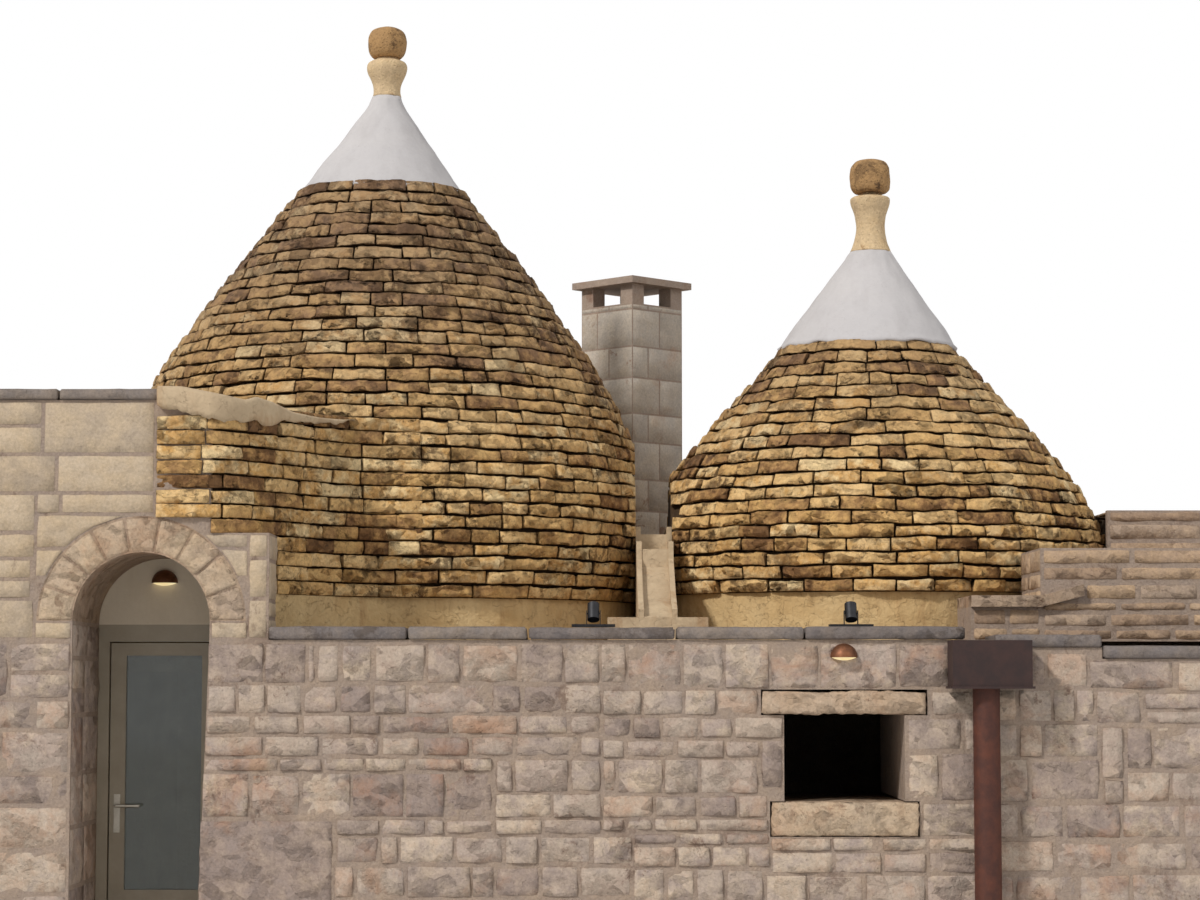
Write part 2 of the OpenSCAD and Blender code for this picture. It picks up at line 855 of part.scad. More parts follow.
module right_side_of_gutter() {
    intersection() {
        children();
        block([gutter_x1, -half_d, 0], [half_w, half_d, left_top + over]);
    }
}

// Fine joints that part a ring into wedges
module parted(r, h) {
    difference() {
        children();
        for (k = [0 : wedges / 2 - 1])
            rotate([0, 0, joint_a + k * 360 / wedges])
                translate([-r - over, -bed / 2, -over])
                    cube([2 * (r + over), bed, h + 2 * over]);
    }
}

module drum(outer_r, inner_r, h) {
    parted(outer_r, h)
        difference() {
            cylinder(r = outer_r, h = h);
            translate([0, 0, -over])
                cylinder(r = inner_r, h = h + 2 * over);
        }
}

module plaster_drums() {
    color("#eddcb4") {
        left_side_of_gutter()
            translate([left_x, 0, wall_h])
                drum(left_eave_r - eave_out, left_drum_r, left_drum_h);
        right_side_of_gutter()
            translate([right_x, 0, wall_h])
                drum(right_eave_r - eave_out, right_drum_r, right_drum_h);
    }
}

// Rings of stepped courses one on the other, each parted into wedges
module stone_shell(radii, shell_t, ring_shares) {
    for (ring = [0 : len(ring_shares) - 2]) {
        first = round(len(radii) * ring_shares[ring]);
        last = round(len(radii) * ring_shares[ring + 1]) - 1;
        translate([0, 0, first * course_h])
            parted(max(radii), (last - first + 1) * course_h)
                rotate_extrude()
                    polygon(ring_points([for (i = [first : last]) radii[i]], shell_t));
    }
}

module left_cone() {
    color("#c49a5a")
        left_side_of_gutter()
            translate([left_x, 0, left_z])
                stone_shell(left_radii, left_shell_t, left_ring_shares);
}

module right_cone() {
    color("#c49a5a")
        right_side_of_gutter()
            translate([right_x, 0, right_z])
                stone_shell(right_radii, right_shell_t, right_ring_shares);
}

// Plastered tip, slightly hollow in outline as it runs up to the neck
tip_shares = [[1, 0], [0.72, 0.22], [0.42, 0.46], [0.16, 0.7], [0.05, 0.86], [0, 1]];

module plaster_tip(foot_r, neck_r, h) {
    rotate_extrude()
        polygon(concat(
            [[0, 0]],
            [for (p = tip_shares) [neck_r + p[0] * (foot_r - neck_r), p[1] * h]],
            [[0, h]]
        ));
}

// Outlines of the pinnacles as shares of the flare's radius and the neck's height
left_neck_shares = [
    [0.71, 0], [0.62, 0.1], [0.58, 0.25], [0.62, 0.42], [0.76, 0.65], [0.97, 0.84], [1, 0.89],
    [0.9, 0.96], [0.6, 1]
];
right_neck_shares = [
    [0.85, 0], [0.68, 0.18], [0.6, 0.36], [0.62, 0.5], [0.7, 0.68], [0.84, 0.85], [0.98, 0.93],
    [1, 0.95], [1, 1], [0.36, 1]
];
left_ball_shares = [
    [0.78, 0], [0.93, 0.12], [1, 0.4], [0.99, 0.6], [0.9, 0.82], [0.68, 0.95], [0.35, 0.99], [0, 1]
];
right_ball_shares = [
    [0.8, 0], [0.93, 0.05], [1, 0.2], [1, 0.78], [0.93, 0.93], [0.78, 0.98], [0, 1]
];

module plaster_tips() {
    color("#d9d9dc") {
        translate([left_x, 0, left_top])
            plaster_tip(left_tip_r, left_neck_shares[0][0] * left_flare_r, left_tip_h);
        translate([right_x, 0, right_top])
            plaster_tip(right_tip_r, right_neck_shares[0][0] * right_flare_r, right_tip_h);
    }
}

// Carved pinnacle: narrow waist, flared top, short stem and ball
module pinnacle(neck_shares, flare_r, neck_h, ball_shares, ball_r, ball_h, stem_r) {
    ball_z = neck_h + stem_h;
    rotate_extrude()
        polygon(concat(
            [[0, 0]],
            [for (p = neck_shares) [p[0] * flare_r, p[1] * neck_h]],
            [[stem_r, neck_h], [stem_r, ball_z]],
            [for (p = ball_shares) [p[0] * ball_r, ball_z + p[1] * ball_h]]
        ));
}

module pinnacles() {
    color("#c9a070") {
        translate([left_x, 0, left_top + left_tip_h])
            pinnacle(left_neck_shares, left_flare_r, left_neck_h, left_ball_shares, left_ball_r,
                     left_ball_h, left_stem_r);
        translate([right_x, 0, right_top + right_tip_h])
            pinnacle(right_neck_shares, right_flare_r, right_neck_h, right_ball_shares,
                     right_ball_r, right_ball_h, right_stem_r);
    }
}

// The chimney stands corner-on to the front
module on_chimney(z) {
    translate([chimney_x, chimney_y, z])
        rotate([0, 0, 45])
            children();
}

module centred_square(w, h) {
    translate([-w / 2, -w / 2, 0])
        cube([w, w, h]);
}

module chimney_shaft() {
    color("#bfb8ad")
        on_chimney(wall_h)
            difference() {
                centred_square(chimney_w, chimney_h - wall_h);
                translate([0, 0, floor_t])
                    centred_square(chimney_w - 2 * chimney_wall, chimney_h - wall_h);
            }
}

module chimney_posts() {
    color("#bfb8ad")
        on_chimney(chimney_h)
            for (a = [0 : 90 : 270])
                rotate([0, 0, a])
                    translate([chimney_w / 2 - post_w, chimney_w / 2 - post_w, 0])
                        cube([post_w, post_w, post_h]);
}

module chimney_cap() {
    color("#bfb8ad")
        on_chimney(chimney_h + post_h) {
            centred_square(cap_w, cap_t);
            translate([0, 0, cap_t])
                rotate([0, 0, 45])
                    cylinder(r1 = cap_w / diagonal_share, r2 = 0, h = cap_rise, $fn = 4);
        }
}

// Side outline of the gutter as shares of its reach and height, from the lip to the crest
gutter_front_shares = [[0.8, 0.41], [0.56, 0.7], [0.55, 0.85], [0.35, 0.87], [0.34, 1]];
gutter_back_shares = [[0.5, 1], [1, 0.43]];

module gutter_side(y0) {
    polygon(concat(
        [[-y0, 0], [-y0, apron_h]],
        [for (p = gutter_front_shares) [-p[0] * gutter_front, p[1] * gutter_h]],
        [for (p = gutter_back_shares) [p[0] * gutter_back, p[1] * gutter_h]],
        [[gutter_back, 0]]
    ));
}

// A slice of the gutter across the valley, seen from the side
module gutter_slice(x0, x1, drop) {
    intersection() {
        translate([x0, 0, wall_h - drop])
            rotate([90, 0, 90])
                linear_extrude(height = x1 - x0)
                    gutter_side(gutter_front);
        block([x0, -half_d, wall_h], [x1, half_d, wall_h + gutter_h]);
    }
}

// Plastered channel between the roofs, falling over a step to an apron on the terrace
module valley_gutter() {
    color("#cfc3b2") {
        gutter_slice(gutter_x0, gutter_x0 + cheek_w, 0);
        gutter_slice(gutter_x0 + cheek_w, gutter_x1 - cheek_w, channel_d);
        gutter_slice(gutter_x1 - cheek_w, gutter_x1, 0);
        difference() {
            block([gutter_x0 - apron_out, -gutter_front, wall_h],
                  [gutter_x1 + apron_out, -gutter_front + apron_l, wall_h + apron_h - channel_d]);
            translate([left_x, 0, wall_h - over])
                cylinder(r = left_eave_r - eave_out + bed, h = apron_h + 2 * over);
            translate([right_x, 0, wall_h - over])
                cylinder(r = right_eave_r - eave_out + bed, h = apron_h + 2 * over);
        }
    }
}

// Keeps walls clear of the right cone
module clear_of_right_cone(h) {
    difference() {
        children();
        translate([right_x, 0, wall_h - over])
            cylinder(r = max(right_radii) + bed, h = h + 2 * over);
    }
}

// The upper wall at the right steps back from the front, then rises along the side
module high_side_wall() {
    color("#a99b8a")
        clear_of_right_cone(parapet_h) {
            block([ledge_x0, upper_y0, wall_h], [upper_x0, -right_room_half_d, ledge_top - ledge_t]);
            block([upper_x0, upper_y0, wall_h], [half_w, -right_room_half_d, wall_h + upper_h]);
            block([parapet_x0, -right_room_half_d - over, wall_h],
                  [half_w, parapet_y0, wall_h + upper_h]);
            block([parapet_x0, parapet_y0, wall_h], [half_w, half_d, wall_h + parapet_h]);
        }
}

// Curved slab that rises along the foot of the stepped-back wall
module roof_ledge() {
    color("#d6c3a4")
        clear_of_right_cone(parapet_h) {
            block([ledge_x0, upper_y0 - ledge_out, ledge_top - ledge_t],
                  [upper_x0, -right_room_half_d, ledge_top]);
            pushed_back(upper_y0 - ledge_out, upper_y0)
                polygon([
                    [upper_x0, ledge_top - ledge_t], [ledge_x1, ledge_top - ledge_t + ledge_rise],
                    [ledge_x1, ledge_top + ledge_rise], [upper_x0, ledge_top]
                ]);
        }
}

// Open-topped steel hopper with a hole to the downpipe in its floor
module rain_hopper() {
    color("#5a2e1e") {
        difference() {
            union() {
                block([hopper_x0, hopper_y0, hopper_z0], [hopper_x0 + hopper_w, hopper_y1, hopper_top]);
                block([hopper_x0 - lip_out, hopper_y0 - lip_out, hopper_z0],
                      [hopper_x0 + hopper_w + lip_out, hopper_y1, hopper_z0 + lip_t]);
            }
            block([hopper_x0 + sheet_t, hopper_y0 + sheet_t, hopper_z0 + sheet_t],
                  [hopper_x0 + hopper_w - sheet_t, hopper_y1 - sheet_t, hopper_top + over]);
            translate([pipe_x, pipe_y, hopper_z0 - over])
                cylinder(r = pipe_r - sheet_t, h = sheet_t + 2 * over);
        }
    }
}

module downpipe() {
    color("#5a2e1e")
        translate([pipe_x, pipe_y, 0])
            difference() {
                cylinder(r = pipe_r, h = hopper_z0);
                translate([0, 0, -over])
                    cylinder(r = pipe_r - sheet_t, h = hopper_z0 + 2 * over);
            }
}

// Half a dome on the wall, open underneath
module wall_lamp(x, y, z) {
    translate([x, y, z])
        intersection() {
            difference() {
                sphere(r = lamp_r);
                sphere(r = lamp_r - lamp_wall);
            }
            translate([-lamp_r, -lamp_r, 0])
                cube([2 * lamp_r, lamp_r, lamp_r]);
        }
    // The closed back and the frosted lens inside
    translate([x, y, z])
        intersection() {
            sphere(r = lamp_r - lamp_wall);
            union() {
                translate([-lamp_r, -lamp_wall, 0])
                    cube([2 * lamp_r, lamp_wall, lamp_r]);
                translate([-lamp_r, -lamp_r, 0])
                    cube([2 * lamp_r, lamp_r, lamp_wall]);
            }
        }
}

module wall_lamps() {
    color("#7a4a28") {
        wall_lamp(window_lamp_x, -half_d, window_lamp_z);
        wall_lamp(arch_x, door_y, door_lamp_z);
    }
}

// Base plate with two ears that hold the head by its pivot pin
module spot_base(x) {
    ear_x = spot_r + ear_gap;
    color("#1d1d1f") {
        translate([x, spot_y, wall_h + coping_t]) {
            difference() {
                union() {
                    translate([-spot_base_w / 2, -spot_base_d / 2, 0])
                        cube([spot_base_w, spot_base_d, spot_base_t]);
                    for (side = [-1, 1])
                        translate([side * ear_x - (side < 0 ? ear_t : 0), -spot_r / 2, 0])
                            cube([ear_t, spot_r, spot_base_t + spot_pivot_h + spot_r / 2]);
                }
                translate([-ear_x - ear_t - over, 0, spot_base_t + spot_pivot_h])
                    rotate([0, 90, 0])
                        cylinder(r = pin_r + pin_clear, h = 2 * (ear_x + ear_t + over));
            }
        }
    }
}

module spot_bases() {
    spot_base(spot_left_x);
    spot_base(spot_right_x);
}

// Round head on its pin, leaning towards the roof
module spot_head(x) {
    ear_x = spot_r + ear_gap;
    color("#1d1d1f")
        translate([x, spot_y, spot_z]) {
            rotate([-spot_lean, 0, 0])
                translate([0, 0, -spot_below_share * spot_l])
                    difference() {
                        cylinder(r = spot_r, h = spot_l);
                        translate([0, 0, spot_l - spot_lens_share * spot_l])
                            cylinder(r = spot_r - lamp_wall, h = spot_l);
                    }
            translate([-ear_x - ear_t, 0, 0])
                rotate([0, 90, 0])
                    cylinder(r = pin_r, h = 2 * (ear_x + ear_t));
        }
}

module spot_head_left() {
    spot_head(spot_left_x);
}

module spot_head_right() {
    spot_head(spot_right_x);
}

front_wall_left();
front_wall_right();
window_walls();
window_lintel();
window_sill();
front_coping();
door_pier();
door_block();
door_arch();
door_tympanum();
door_block_coping();
door_threshold();
door_frame();
door_leaf();
door_glass();
door_panel();
handle_plates();
door_handle();
hinge_posts();
hinge_leaves();
shoulder_foot();
shoulder_roof();
shoulder_cap();
end_walls();
back_wall();
cross_wall();
room_floors();
corner_slabs();
plaster_drums();
left_cone();
right_cone();
plaster_tips();
pinnacles();
chimney_shaft();
chimney_posts();
chimney_cap();
valley_gutter();
high_side_wall();
roof_ledge();
rain_hopper();
downpipe();
wall_lamps();
spot_bases();
spot_head_left();
spot_head_right();
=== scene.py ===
"""Looks of the trullo house: rough stones, roof slabs, plaster and metal round the CAD frame."""
import bpy
import math
import random
import numpy as np
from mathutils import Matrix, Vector, noise


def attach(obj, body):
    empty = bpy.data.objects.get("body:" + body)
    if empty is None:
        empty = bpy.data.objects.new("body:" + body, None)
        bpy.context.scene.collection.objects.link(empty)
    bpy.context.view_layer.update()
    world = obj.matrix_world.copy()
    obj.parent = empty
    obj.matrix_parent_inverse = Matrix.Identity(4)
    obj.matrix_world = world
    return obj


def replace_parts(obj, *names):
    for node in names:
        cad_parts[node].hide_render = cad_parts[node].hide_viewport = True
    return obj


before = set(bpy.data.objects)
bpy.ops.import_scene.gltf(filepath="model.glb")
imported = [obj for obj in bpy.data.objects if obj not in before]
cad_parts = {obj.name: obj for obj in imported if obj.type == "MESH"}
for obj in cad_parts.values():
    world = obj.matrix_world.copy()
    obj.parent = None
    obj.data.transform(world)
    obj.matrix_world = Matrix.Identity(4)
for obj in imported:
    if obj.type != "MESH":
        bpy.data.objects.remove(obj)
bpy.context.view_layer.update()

# Sizes of the frame, in metres
HALF_W, HALF_D, WALL_H = 3.6, 2.6, 1.96
COURSE = 0.078
LEFT_X, RIGHT_X = -1.36, 1.66
LEFT_Z, RIGHT_Z = 2.21, 2.25
LEFT_N, RIGHT_N = 33, 20
LEFT_SHAPE = (1.65, 0.51, 0.85, 1.92)
RIGHT_SHAPE = (1.45, 0.53, 0.45, 1.23)
LEFT_SHELL, RIGHT_SHELL = 0.42, 0.40
GUTTER_X0, GUTTER_X1 = 0.2125, 0.4275
LEFT_TOP = LEFT_Z + LEFT_N * COURSE
RIGHT_TOP = RIGHT_Z + RIGHT_N * COURSE
NICHE_X0, NICHE_X1, DOOR_Y, DOOR_BACK = -2.77, -2.05, -1.8, -1.73
ARCH_X, ARCH_R, ARCH_Z, ARCH_T = -2.41, 0.36, 2.06, 0.19
BLOCK_X1, BLOCK_H, QUOIN_H = -1.74, 3.224, 2.522
WIN = (0.963, 1.595, 1.118, 1.566)
UPPER_X0, UPPER_Y, UPPER_Z = 2.41, -2.0, 2.47
PARAPET_X0, PARAPET_Y, PARAPET_Z = 3.03, -0.6, 2.76
SHOULDER_N, QUOIN_N = 13, 4


def roof_r(share, eave, tip, swell, fall):
    s2, s3 = share ** 2, share ** 3
    return (eave * (1 - 3 * s2 + 2 * s3) + swell * (share - 2 * s2 + s3)
            + tip * (3 * s2 - 2 * s3) - fall * (s3 - s2))


LEFT_R = [roof_r(i / LEFT_N, *LEFT_SHAPE) for i in range(LEFT_N)]
RIGHT_R = [roof_r(i / RIGHT_N, *RIGHT_SHAPE) for i in range(RIGHT_N)]


# Materials

def lin(*rgb):
    out = []
    for c in rgb:
        c /= 255
        out.append(c / 12.92 if c <= 0.04045 else ((c + 0.055) / 1.055) ** 2.4)
    return tuple(out) + (1.0,)


class Mat:
    """A node material with short helpers for its textures."""

    def __init__(self, name, rough=0.9, metal=0.0, spec=0.3):
        self.m = bpy.data.materials.new(name)
        self.m.use_nodes = True
        self.t = self.m.node_tree
        self.b = self.t.nodes["Principled BSDF"]
        self.b.inputs["Roughness"].default_value = rough
        self.b.inputs["Metallic"].default_value = metal
        self.b.inputs["Specular IOR Level"].default_value = spec
        self.co = self.node("ShaderNodeTexCoord").outputs["Object"]

    def node(self, kind, inputs=None, **props):
        n = self.t.nodes.new(kind)
        for k, v in props.items():
            setattr(n, k, v)
        for k, v in (inputs or {}).items():
            if isinstance(v, bpy.types.NodeSocket):
                self.t.links.new(v, n.inputs[k])
            else:
                n.inputs[k].default_value = v
        return n

    def stretch(self, x, y, z):
        return self.node("ShaderNodeMapping", {"Vector": self.co, "Scale": (x, y, z)}).outputs[0]

    def noise(self, scale, detail=6.0, rough=0.6, vec=None, distortion=0.0):
        return self.node("ShaderNodeTexNoise", {
            "Vector": vec or self.co, "Scale": scale, "Detail": detail, "Roughness": rough,
            "Distortion": distortion}).outputs["Fac"]

    def voronoi(self, scale, feature="F1", vec=None):
        return self.node("ShaderNodeTexVoronoi", {"Vector": vec or self.co, "Scale": scale},
                         feature=feature).outputs["Distance"]

    def attr(self, name):
        return self.node("ShaderNodeAttribute", attribute_name=name).outputs["Fac"]

    def math(self, op, a, b=0.0, clamp=False):
        return self.node("ShaderNodeMath", {0: a, 1: b}, operation=op, use_clamp=clamp).outputs[0]

    def span(self, value, a, b, lo=0.0, hi=1.0):
        return self.node("ShaderNodeMapRange", {0: value, 1: a, 2: b, 3: lo, 4: hi}).outputs[0]

    def ramp(self, fac, stops):
        n = self.node("ShaderNodeValToRGB", {0: fac})
        e = n.color_ramp.elements
        while len(e) < len(stops):
            e.new(0.5)
        for el, (pos, col) in zip(e, stops):
            el.position = pos
            el.color = col
        return n.outputs[0]

    def mix(self, fac, a, b, blend="MIX"):
        n = self.node("ShaderNodeMix", {0: fac, 6: a, 7: b}, data_type="RGBA", blend_type=blend)
        return n.outputs[2]

    def chips(self, scale, stretch=(1, 1, 1), warp=0.5):
        """Facets as of split stone: each cell is a plane tilted its own way."""
        lump = self.node("ShaderNodeTexNoise", {"Vector": self.co, "Scale": scale * 0.6, "Detail": 3.0})
        bend = self.node("ShaderNodeVectorMath", {0: lump.outputs["Color"], 3: warp}, operation="SCALE")
        grid = self.node("ShaderNodeVectorMath", {0: self.stretch(*(scale * k for k in stretch)),
                                                  1: bend.outputs[0]}, operation="ADD")
        cell = self.node("ShaderNodeTexVoronoi", {"Vector": grid.outputs[0], "Scale": 1.0})
        away = self.node("ShaderNodeVectorMath", {0: grid.outputs[0], 1: cell.outputs["Position"]},
                         operation="SUBTRACT")
        tilt = self.node("ShaderNodeVectorMath", {0: cell.outputs["Color"], 1: (0.5, 0.5, 0.5)},
                         operation="SUBTRACT")
        return self.node("ShaderNodeVectorMath", {0: away.outputs[0], 1: tilt.outputs[0]},
                         operation="DOT_PRODUCT").outputs["Value"]

    def height(self):
        return self.node("ShaderNodeSeparateXYZ", {0: self.co}).outputs[2]

    def bump(self, height, strength=0.5, distance=0.01, under=None):
        ins = {"Height": height, "Strength": strength, "Distance": distance}
        if under is not None:
            ins["Normal"] = under
        return self.node("ShaderNodeBump", ins).outputs[0]

    def done(self, color, normal=None):
        self.t.links.new(color, self.b.inputs["Base Color"])
        if normal is not None:
            self.t.links.new(normal, self.b.inputs["Normal"])
        return self.m


def stone_mat(name, stops, stain, stain_from=0.56, grain=0.16, pits=0.5, bump=0.5, big=1.4,
              edge_shade=0.45, chip=0.0, chip_scale=11.0, top_shade_and_lichen=None, rusty=0.0):
    """Limestone whose tint changes from stone to stone, with chips, pits, stains and painted shade on the
    stones' rims next to the joints.
    """
    m = Mat(name, rough=0.92, spec=0.2)
    patches = m.noise(big, 5, 0.6)
    mottled = m.noise(9, 8, 0.65)
    grainy = m.noise(70, 6, 0.7)
    fac = m.math("ADD", m.attr("tint"), m.span(mottled, 0.35, 0.65, -grain, grain), True)
    col = m.ramp(fac, stops)
    col = m.mix(m.span(mottled, 0.35, 0.7, 0.0, 0.35), col, lin(232, 214, 184), "SOFT_LIGHT")
    speck = m.span(grainy, 0.3, 0.7, 0.78, 1.12)
    col = m.mix(1.0, col, m.node("ShaderNodeCombineColor", {0: speck, 1: speck, 2: speck}).outputs[0],
                "MULTIPLY")
    if rusty:
        warm = m.noise(1.9, 6, 0.7, distortion=0.4)
        col = m.mix(m.span(warm, 0.54, 0.68, 0.0, rusty), col, lin(168, 118, 84))
    lich = m.noise(4.5, 9, 0.72, distortion=0.6)
    lich = m.math("ADD", lich, m.span(m.noise(30, 8, 0.78), 0.3, 0.7, -0.07, 0.07))
    if top_shade_and_lichen:
        # painted shade: the courses near the top are duller, standing for lamplight from below that fades
        # upwards; they also carry more lichen
        high = m.span(m.height(), top_shade_and_lichen[0], top_shade_and_lichen[1])
        col = m.mix(m.math("MULTIPLY", high, top_shade_and_lichen[3]), col, top_shade_and_lichen[2])
        lich = m.math("ADD", lich, m.math("MULTIPLY", high, 0.045))
    dark = m.span(lich, stain_from, stain_from + 0.07)
    dark = m.math("MULTIPLY", dark, m.span(patches, 0.4, 0.62, 0.15, 0.85))
    col = m.mix(dark, col, stain)
    # painted shade: each stone darkens towards the stain colour at its rims, next to the joints
    rim = m.span(m.attr("rim"), 0.0, 0.8, edge_shade, 0.0)
    col = m.mix(rim, col, stain)
    hole = m.span(m.voronoi(55), 0.12, 0.3)
    rough_h = m.math("ADD", m.math("MULTIPLY", mottled, 1.6), m.math("MULTIPLY", grainy, 0.5))
    n1 = None
    if chip:
        n1 = m.bump(m.chips(chip_scale, (1, 1, 1.5)), chip, 0.13)
        n1 = m.bump(m.chips(chip_scale * 2.7, (1, 1, 1.3)), chip * 0.6, 0.035, n1)
    n1 = m.bump(rough_h, bump, 0.02, n1)
    n2 = m.bump(hole, pits, 0.004, n1)
    return m.done(col, n2)


def plaster_mat(name, base, light, stain, rust=None, bump=0.25):
    """Trowelled lime plaster with washed streaks, hairline cracks and a little rust."""
    m = Mat(name, rough=0.88, spec=0.2)
    cloud = m.noise(1.6, 7, 0.62)
    fine = m.noise(38, 7, 0.7)
    streak = m.noise(7, 6, 0.6, m.stretch(1, 1, 0.12))
    col = m.mix(m.span(cloud, 0.25, 0.75), base, light)
    col = m.mix(m.span(fine, 0.3, 0.75, 0.0, 0.16), col, stain)
    col = m.mix(m.span(streak, 0.48, 0.85, 0.0, 0.35), col, stain)
    if rust:
        spots = m.noise(2.6, 8, 0.7, m.stretch(1, 1, 0.35), 0.5)
        col = m.mix(m.span(spots, 0.53, 0.68, 0.0, 0.7), col, rust)
    crack = m.span(m.voronoi(3.1, "DISTANCE_TO_EDGE", m.node(
        "ShaderNodeVectorMath", {0: m.co, 1: m.node("ShaderNodeTexNoise", {
            "Vector": m.co, "Scale": 5.0, "Detail": 5.0}).outputs["Color"]},
        operation="ADD").outputs[0]), 0.0, 0.006, 1.0, 0.0)
    col = m.mix(m.math("MULTIPLY", crack, 0.35), col, stain)
    h = m.math("ADD", m.math("MULTIPLY", m.noise(6, 5, 0.55), 2.0), m.math("MULTIPLY", fine, 0.4))
    h = m.math("SUBTRACT", h, m.math("MULTIPLY", crack, 0.3))
    return m.done(col, m.bump(h, bump, 0.02))


def metal_mat(name, a, b, rough=0.5, metal=0.6, scale=12.0, bump=0.15):
    """Painted or rusted metal with blotches, fine grain and rubbed spots."""
    m = Mat(name, rough=rough, metal=metal, spec=0.5)
    blot = m.noise(scale, 8, 0.68)
    fine = m.noise(scale * 14, 5, 0.6)
    col = m.mix(m.span(blot, 0.38, 0.64), a, b)
    col = m.mix(m.span(fine, 0.35, 0.8, 0.0, 0.3), col, a)
    h = m.math("ADD", blot, m.math("MULTIPLY", fine, 0.5))
    return m.done(col, m.bump(h, bump, 0.003))


# painted shade towards the top of the roofs (from and to height, colour, weight), with more lichen there
# too
TOP_SHADE_AND_LICHEN = (2.9, 4.2, lin(130, 108, 90), 0.62)
ROOF = stone_mat("roof_stone", [
    (0.0, lin(124, 92, 62)), (0.12, lin(174, 136, 92)), (0.3, lin(208, 168, 112)),
    (0.5, lin(218, 180, 126)), (0.66, lin(226, 192, 142)), (0.82, lin(200, 156, 98)),
    (1.0, lin(232, 204, 158))], lin(76, 53, 36), stain_from=0.52, bump=0.45, pits=0.3,
    edge_shade=0.5, chip=1.0, chip_scale=11.0, top_shade_and_lichen=TOP_SHADE_AND_LICHEN)
# painted shade: a dark bed under the slabs, so that the joints between them read dark
ROOF_BED_SHADE = stone_mat("roof_bed_shade", [(0.0, lin(62, 48, 35)), (1.0, lin(84, 66, 48))],
                      lin(40, 32, 25), bump=0.6)
WALL = stone_mat("wall_stone", [
    (0.0, lin(152, 137, 130)), (0.2, lin(168, 153, 144)), (0.42, lin(182, 167, 155)),
    (0.6, lin(170, 154, 146)), (0.8, lin(192, 176, 161)), (1.0, lin(178, 156, 142))],
    lin(112, 88, 76), stain_from=0.585, bump=0.55, pits=0.5, edge_shade=0.5, chip=0.6,
    chip_scale=10.0, rusty=0.45)
# painted light: a warmer, golden copy of the wall stone, standing for the lamplight on the upper walls
LAMPLIT_WALL = stone_mat("side_wall_stone_lamplit", [
    (0.0, lin(156, 134, 116)), (0.35, lin(174, 150, 128)), (0.7, lin(186, 160, 134)),
    (1.0, lin(166, 148, 134))], lin(104, 84, 72), stain_from=0.57, bump=0.5, edge_shade=0.3,
    chip=0.45)
MORTAR = stone_mat("lime_mortar", [(0.0, lin(160, 144, 133)), (1.0, lin(176, 160, 148))],
                   lin(122, 102, 90), stain_from=0.56, bump=0.8, pits=0.3, edge_shade=0.0)
DRESSED = stone_mat("dressed_stone", [
    (0.0, lin(178, 158, 140)), (0.5, lin(192, 172, 150)), (1.0, lin(184, 162, 142))],
    lin(124, 98, 80), stain_from=0.57, bump=0.6, pits=0.5, edge_shade=0.25, chip=0.6,
    chip_scale=13.0, rusty=0.4)
ASHLAR = stone_mat("ashlar", [
    (0.0, lin(176, 160, 142)), (0.5, lin(192, 175, 154)), (1.0, lin(184, 166, 144))],
    lin(132, 114, 98), stain_from=0.6, bump=0.4, pits=0.25, edge_shade=0.25, chip=0.15)
COPING = stone_mat("coping_stone", [
    (0.0, lin(106, 100, 100)), (0.5, lin(122, 115, 114)), (1.0, lin(136, 127, 122))],
    lin(82, 72, 66), stain_from=0.53, bump=0.5, pits=0.4, edge_shade=0.35, chip=0.3)
PINNACLE = stone_mat("pinnacle_stone", [
    (0.0, lin(198, 172, 138)), (0.5, lin(208, 184, 150)), (1.0, lin(190, 160, 124))],
    lin(150, 112, 74), stain_from=0.55, bump=0.5, pits=0.8, big=6.0, edge_shade=0.0)
BALL = stone_mat("ball_stone", [
    (0.0, lin(158, 122, 84)), (0.5, lin(172, 138, 98)), (1.0, lin(148, 112, 78))],
    lin(66, 50, 40), stain_from=0.5, bump=0.6, pits=1.0, big=9.0, edge_shade=0.0)
CHIMNEY = stone_mat("chimney_stone", [
    (0.0, lin(180, 171, 162)), (0.5, lin(194, 185, 175)), (1.0, lin(186, 175, 163))],
    lin(132, 96, 76), stain_from=0.585, bump=0.3, pits=0.2, edge_shade=0.4, chip=0.1, rusty=0.4)
FLOOR = stone_mat("floor_stone", [(0.0, lin(168, 152, 130)), (1.0, lin(186, 170, 148))],
                  lin(128, 112, 94), bump=0.2, pits=0.2, edge_shade=0.0)
PLASTER = plaster_mat("drum_plaster", lin(198, 164, 112), lin(226, 203, 158), lin(138, 104, 68),
                      lin(146, 98, 58), bump=0.9)
CAP_PLASTER = plaster_mat("shoulder_plaster", lin(186, 164, 136), lin(206, 186, 156),
                          lin(132, 108, 84), lin(160, 118, 78), bump=0.7)
WHITE = plaster_mat("white_lime", lin(188, 186, 189), lin(199, 196, 197), lin(152, 147, 148),
                    bump=0.16)
INSIDE = plaster_mat("room_plaster", lin(212, 200, 180), lin(222, 212, 194), lin(186, 172, 150))
HOPPER = metal_mat("hopper_steel", lin(42, 27, 26), lin(58, 36, 32), rough=0.65, metal=0.2)
RUST = metal_mat("rusty_steel", lin(66, 34, 26), lin(92, 48, 32), rough=0.65, metal=0.2)
FRAME_PAINT = metal_mat("door_paint", lin(150, 140, 122), lin(162, 152, 134), rough=0.42,
                        metal=0.0, scale=5.0, bump=0.05)
SATIN = metal_mat("satin_metal", lin(172, 166, 154), lin(190, 184, 172), rough=0.35, metal=0.9,
                  scale=20.0, bump=0.05)
COPPER = metal_mat("copper_lamp", lin(96, 62, 44), lin(132, 86, 58), rough=0.5, metal=0.7,
                   scale=26.0)
BLACK = metal_mat("black_metal", lin(30, 30, 33), lin(44, 44, 48), rough=0.5, metal=0.5,
                  scale=30.0)


